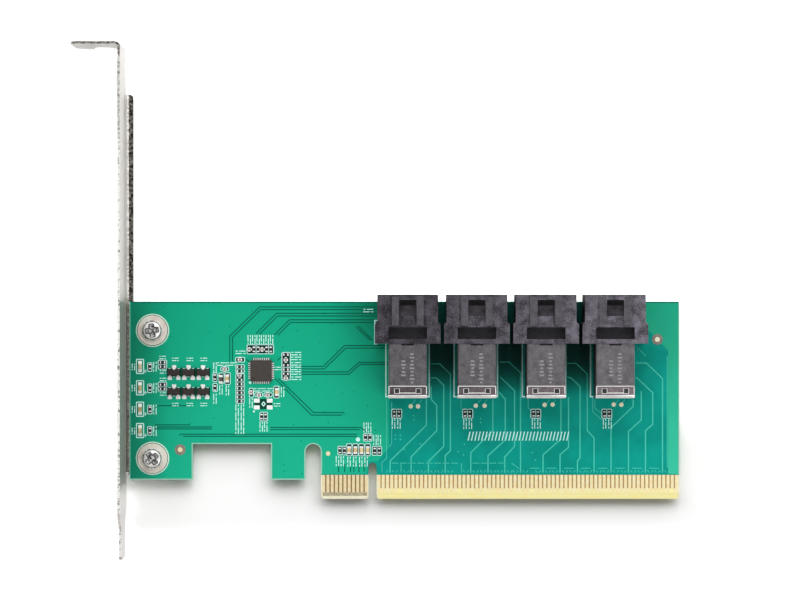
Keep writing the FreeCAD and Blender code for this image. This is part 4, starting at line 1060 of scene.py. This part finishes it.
# Bracket screws: domed pan heads whose cross recess has a flat floor and sloping walls and ends
HEAD_RADIUS, HEAD_TALL, RIM_TALL = 2.40, 1.70, 0.75
CROSS_SPAN, CROSS_WIDTH, CROSS_DEEP = 1.65, 1.00, 0.85
WALL_SLOPE, END_SLOPE = 0.34, 0.30
SHANK_RADIUS, TIP_CHAMFER, TIP_TALL = 1.50, 0.25, 0.3
SCREW_TURNS = (38.0, 8.0)
HEAD_RINGS, HEAD_STEPS = 44, 120


def pan_head(radius, turn, angle):
    """Height above the seat at a place on the head."""
    dome = RIM_TALL + (HEAD_TALL - RIM_TALL) * max(0.0, 1 - (radius / HEAD_RADIUS) ** 4)
    u = abs(radius * math.cos(angle - turn))
    v = abs(radius * math.sin(angle - turn))
    depth = 0.0
    for along, across in ((u, v), (v, u)):
        wall = min(1.0, max(0.0, (CROSS_WIDTH / 2 - across) / WALL_SLOPE + 0.5))
        end = min(1.0, max(0.0, (CROSS_SPAN - along) / END_SLOPE))
        depth = max(depth, wall * end * CROSS_DEEP)
    return dome - depth


def pan_head_screws():
    """Both screws, each as rings from its crown over the head and down the shank to its tip."""
    mesh = bmesh.new()
    angles = [2 * math.pi * i / HEAD_STEPS for i in range(HEAD_STEPS)]
    for (low, high), (_, seat), turn in zip(solids_of("bracket_screws"), washers, SCREW_TURNS):
        axis = (low + high) / 2
        turn = math.radians(turn)
        rings = []
        for i in range(1, HEAD_RINGS + 1):
            radius = HEAD_RADIUS * i / HEAD_RINGS
            rings.append([(radius, a, seat.z + pan_head(radius, turn, a)) for a in angles])
        for radius, z in ((HEAD_RADIUS, seat.z + 0.12), (HEAD_RADIUS - 0.10, seat.z),
                          (SHANK_RADIUS, seat.z), (SHANK_RADIUS, low.z + TIP_TALL),
                          (SHANK_RADIUS - TIP_CHAMFER, low.z)):
            rings.append([(radius, a, z) for a in angles])
        x, y = axis.x, axis.y
        loops = [[mesh.verts.new(Vector((x + r * math.cos(a), y + r * math.sin(a), z)) * MM)
                  for r, a, z in ring] for ring in rings]
        crown = mesh.verts.new(Vector((x, y, seat.z + pan_head(0, turn, 0))) * MM)
        tip = mesh.verts.new(Vector((x, y, low.z)) * MM)
        for i in range(HEAD_STEPS):
            j = (i + 1) % HEAD_STEPS
            mesh.faces.new((crown, loops[0][i], loops[0][j]))
            mesh.faces.new((tip, loops[-1][j], loops[-1][i]))
            for inner, wider in zip(loops, loops[1:]):
                mesh.faces.new((inner[i], wider[i], wider[j], inner[j]))
    piece = closed_piece("pan_head_screws", mesh, screw_steel)
    for face in piece.data.polygons:
        face.use_smooth = True
    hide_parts("bracket_screws")


pan_head_screws()

# Pale rings round the washers, and the dark grooves inside them
RING_OUTER, GROOVE_OUTER, GROOVE_INNER = 3.93, 3.63, 3.30
for name, outer, inner, height, material in (
        ("washer_pad_rings", RING_OUTER, GROOVE_OUTER, PAD, ring_mask),
        ("washer_grooves", GROOVE_OUTER, GROOVE_INNER, RIM, clearance_and_shade_mask)):
    middles = [(low + high) / 2 for low, high in washers]
    on_top(name, [[disc(c.x, c.y, outer, 64), disc(c.x, c.y, inner, 64)] for c in middles], height,
           material)

# Ribs on the spring clips, with bright lines along their lips, sides and window rims as painted
# highlights on the sheet's edges, dark windows in them as painted shade, faint printed rows on
# the rear covers, and the rubbed bands on the shrouds either side of the latch channel
WINDOW_HALF, WINDOW_SPREAD, WINDOW_REAR, WINDOW_FRONT = 0.53, 2.5, 1.76, 0.70
PRINT_MIDDLE, PRINT_PITCH, PRINT_HALF = 31.0, 0.82, 0.20
BAND_INNER, BAND_OUTER, BAND_REAR, BAND_FRONT = 2.08, 3.66, 41.02, 47.60
RIB_HALF, LIP_HALF, SIDE_INNER, SIDE_OUTER, SIDE_START = 1.90, 4.30, 4.26, 4.42, 1.1
WINDOW_RIM, WINDOW_RIM_FRONT = 0.10, 0.05
front = clip_high.y
ribs_and_highlights, rows, bands, window_shade = [], [], [], []
for x in port_middle.values():
    ribs_and_highlights.append(rect(x - RIB_HALF, x + RIB_HALF, front - 1.78, front - 1.60))
    ribs_and_highlights.append(rect(x - LIP_HALF, x + LIP_HALF, front - 0.18, front - 0.03))
    for side in (-1, 1):
        ends = sorted((x + side * SIDE_INNER, x + side * SIDE_OUTER))
        ribs_and_highlights.append(rect(*ends, clip_low.y + SIDE_START, front - 0.20))
        middle = x + side * WINDOW_SPREAD
        x0, x1 = middle - WINDOW_HALF, middle + WINDOW_HALF
        y0, y1 = front - WINDOW_REAR, front - WINDOW_FRONT
        window_shade.append(rect(x0, x1, y0, y1))
        ribs_and_highlights.append([rect(x0 - WINDOW_RIM, x1 + WINDOW_RIM, y0 - WINDOW_RIM,
                          y1 + WINDOW_RIM_FRONT), rect(x0, x1, y0, y1)])
        ends = sorted((x + side * BAND_INNER, x + side * BAND_OUTER))
        bands.append(rect(*ends, BAND_REAR, BAND_FRONT))
    for row, count in ((-1.0, 5), (1.0, 9)):
        for i in range(count):
            y = PRINT_MIDDLE + (i - (count - 1) / 2) * PRINT_PITCH
            long = 0.30 + 0.12 * ((i * 5 + count) % 3)
            rows.append(rect(x + row - long, x + row + long, y - PRINT_HALF, y + PRINT_HALF))
for name, shapes, level, sunk, proud, material, slot in (
        ("boss_bands", bands, SHROUD_TOP, 0.02, 0.012, boss_nylon, "port_plastic"),
        ("clip_ribs_and_edge_highlights", ribs_and_highlights, clip_high.z, 0.02, 0.02, dull_tin, "clip_steel"),
        ("painted_shade_in_clip_windows", window_shade, COVER_TOP, 0.01, 0.01, insert_plastic, "cover_plastic"),
        ("cover_print", rows, COVER_TOP, 0.01, 0.008, pad_print, "cover_plastic")):
    plates(name, shapes, level - sunk, level + proud, material)

# Solder side: copper, press-in tails in plated rings, and tracks between them
TAIL_ROWS, TAIL_COLUMNS, TAIL_PITCH, TAIL_STEP, TAIL_LONG = 4, 9, 0.75, 2.60, 0.70
TAIL_WIDE, TAIL_TALL, COLLAR = 0.125, 0.20, 0.34
BACK_STEP, BACK_SHIFT, PAIR_GAP, FAN = 3.0, 3.4, 0.6, 1.6
back_pour = up_to_key + [(KEY_HALF + EDGE, POUR_LEVEL), (right - EDGE, POUR_LEVEL),
                         (right - EDGE, top - EDGE)]
on_back("back_pour", [back_pour], POUR, pour_mask)
tails, collars, back_tracks = [], [], []
for middle in port_middle.values():
    for row in range(TAIL_ROWS):
        for column in range(TAIL_COLUMNS):
            x = middle + (column - (TAIL_COLUMNS - 1) / 2) * TAIL_PITCH
            y = COVER_REAR + 1.90 + row * TAIL_STEP + (column % 2) * TAIL_STEP / 2
            tails.append(rounded(x - TAIL_WIDE, x + TAIL_WIDE, y - TAIL_TALL, y + TAIL_TALL,
                                 0.06, 2))
            collars.append(disc(x, y, COLLAR, 16))
    for track in range(3):
        for gap, turn in ((0.0, 16.5), (PAIR_GAP, 16.2)):
            x = middle + (track - 1) * BACK_STEP + gap
            y = turn - track * FAN
            points = ((x, COVER_REAR + 1.2), (x, y), (x - BACK_SHIFT, y - BACK_SHIFT),
                      (x - BACK_SHIFT, 6.3))
            back_tracks.append(line(points, LANE_WIDTH))
plates("press_in_tails", tails, BOARD_BACK - TAIL_LONG, BOARD_BACK, tin)
on_back("tail_rings", collars, PAD, gold)
on_back("back_tracks", back_tracks, GAP_LINE, gap_mask)
back_dots = [disc(x, y, BACK_VIA, 14) for x, y in vias + feed_throughs]
on_back("back_vias", back_dots, PAD, trace_mask)


# Floor, lamps and camera
FLOOR_LEVEL = cad_box[0][2] / MM - 0.02
FLOOR_SIZE = 6.0
FIELD = 188.2
CAMERA_DISTANCE = 750.0
CAMERA_X, CAMERA_Y = 6.45, 46.82
SENSOR = 36.0


def grey(level):
    return (level, level, level, 1.0)


# Pale seamless floor: it reads white to the eye and in reflections and keeps the shadow, which a
# little greyer tone under the lower edges of the card deepens as painted shade. Far off it is
# lifted, where the lamps fall away.
FLOOR_PLAIN, FLOOR_MIRRORED, FLOOR_SHADED = 0.80, 1.50, 1.68
FLOOR_NEAR, FLOOR_FAR = (0.25, 2.50), (2.5, 22.0)


def white_floor():
    material = bpy.data.materials.new("pale_studio_floor")
    material.use_nodes = True
    tree = material.node_tree
    tree.nodes.remove(tree.nodes["Principled BSDF"])
    path = add(tree, "ShaderNodeLightPath")
    plain = layered(tree, grey(FLOOR_PLAIN), (path.outputs["Is Glossy Ray"], grey(FLOOR_MIRRORED)),
                    (path.outputs["Is Transmission Ray"], grey(FLOOR_MIRRORED)))
    deepened_shade = fading(tree, "Y", 24, 12, change="SMOOTHSTEP")
    for axis, start, end in (("Y", -14, -5), ("X", -62, -54)):
        share = fading(tree, axis, start, end, change="SMOOTHSTEP")
        deepened_shade = add(tree, "ShaderNodeMath", {0: deepened_shade, 1: share}, operation="MULTIPLY").outputs[0]
    far = add(tree, "ShaderNodeMapRange", {
        "Value": apart(tree, (0, 0, 0)), "From Min": FLOOR_NEAR[0], "To Min": FLOOR_NEAR[1],
        "From Max": FLOOR_FAR[0], "To Max": FLOOR_FAR[1]})
    seen = layered(tree, far.outputs["Result"], (deepened_shade, grey(FLOOR_SHADED)))
    tone = layered(tree, plain, (path.outputs["Is Camera Ray"], seen))
    matt = add(tree, "ShaderNodeBsdfDiffuse", {"Color": tone})
    tree.links.new(matt.outputs[0], tree.nodes["Material Output"].inputs["Surface"])
    return material


bpy.ops.mesh.primitive_plane_add(size=FLOOR_SIZE, location=(0, 0, FLOOR_LEVEL * MM))
floor = bpy.context.object
floor.name = "studio_floor"
floor.data.materials.append(white_floor())

# Studio dome: a pale wall all round that is brighter beyond the top edge, a dim upper part and a
# small panel overhead
DOME_LEVELS = ((0.0, 0.34), (0.15, 0.28), (0.45, 0.14), (0.75, 0.04), (0.955, 0.06), (0.975, 0.58))
world = bpy.data.worlds.new("studio_dome")
bpy.context.scene.world = world
world.use_nodes = True
tree = world.node_tree
place = add(tree, "ShaderNodeTexCoord")
axes = add(tree, "ShaderNodeSeparateXYZ", {0: place.outputs["Generated"]})
dome = add(tree, "ShaderNodeValToRGB", {"Fac": axes.outputs["Z"]})
ramp = dome.color_ramp
while len(ramp.elements) < len(DOME_LEVELS):
    ramp.elements.new(0.5)
for element, (position, level) in zip(ramp.elements, DOME_LEVELS):
    element.position = position
    element.color = grey(level)
lean = add(tree, "ShaderNodeMapRange", {"Value": axes.outputs["Y"], "From Min": -1.0,
                                        "To Min": 0.74, "To Max": 1.00})
tree.links.new(dome.outputs["Color"], tree.nodes["Background"].inputs["Color"])
tree.links.new(lean.outputs["Result"], tree.nodes["Background"].inputs["Strength"])

# Two soft boxes beyond the top edge and two weaker fills on the side of the contact edge, all
# aimed at the middle of the card, with sizes in metres
LAMP_DISTANCE = 0.9
LAMP_AIM = Vector((CAMERA_X, 25, 0)) * MM


def lamp(name, azimuth, elevation, width, height, power):
    data = bpy.data.lights.new(name, "AREA")
    data.shape = "RECTANGLE"
    data.size = width
    data.size_y = height
    data.energy = power
    piece = bpy.data.objects.new(name, data)
    bpy.context.scene.collection.objects.link(piece)
    a, e = math.radians(azimuth), math.radians(elevation)
    away = Vector((math.cos(e) * math.cos(a), math.cos(e) * math.sin(a), math.sin(e)))
    piece.location = LAMP_AIM + away * LAMP_DISTANCE
    piece.rotation_euler = away.to_track_quat("Z", "Y").to_euler()
    return piece


lamp("left_softbox", 117, 36, 1.00, 0.85, 4.1)
lamp("right_softbox", 58, 36, 1.00, 0.85, 5.4)
# The fills are flagged off the floor, so that the floor keeps one plain shadow
flagged = bpy.data.collections.new("flagged_from_fills")
flagged.objects.link(floor)
flagged.collection_objects[0].light_linking.link_state = "EXCLUDE"
for name, azimuth, power in (("left_fill", 222, 2.7), ("right_fill", 318, 3.2)):
    fill = lamp(name, azimuth, 38, 0.80, 0.45, power)
    fill.light_linking.receiver_collection = flagged

lens = bpy.data.cameras.new("photo_camera")
lens.sensor_width = SENSOR
lens.lens = SENSOR * CAMERA_DISTANCE / FIELD
camera = bpy.data.objects.new("photo_camera", lens)
camera.location = (CAMERA_X * MM, CAMERA_Y * MM, (BOARD_TOP + CAMERA_DISTANCE) * MM)
bpy.context.scene.collection.objects.link(camera)
bpy.context.scene.camera = camera
bpy.context.scene.view_settings.view_transform = "Standard"
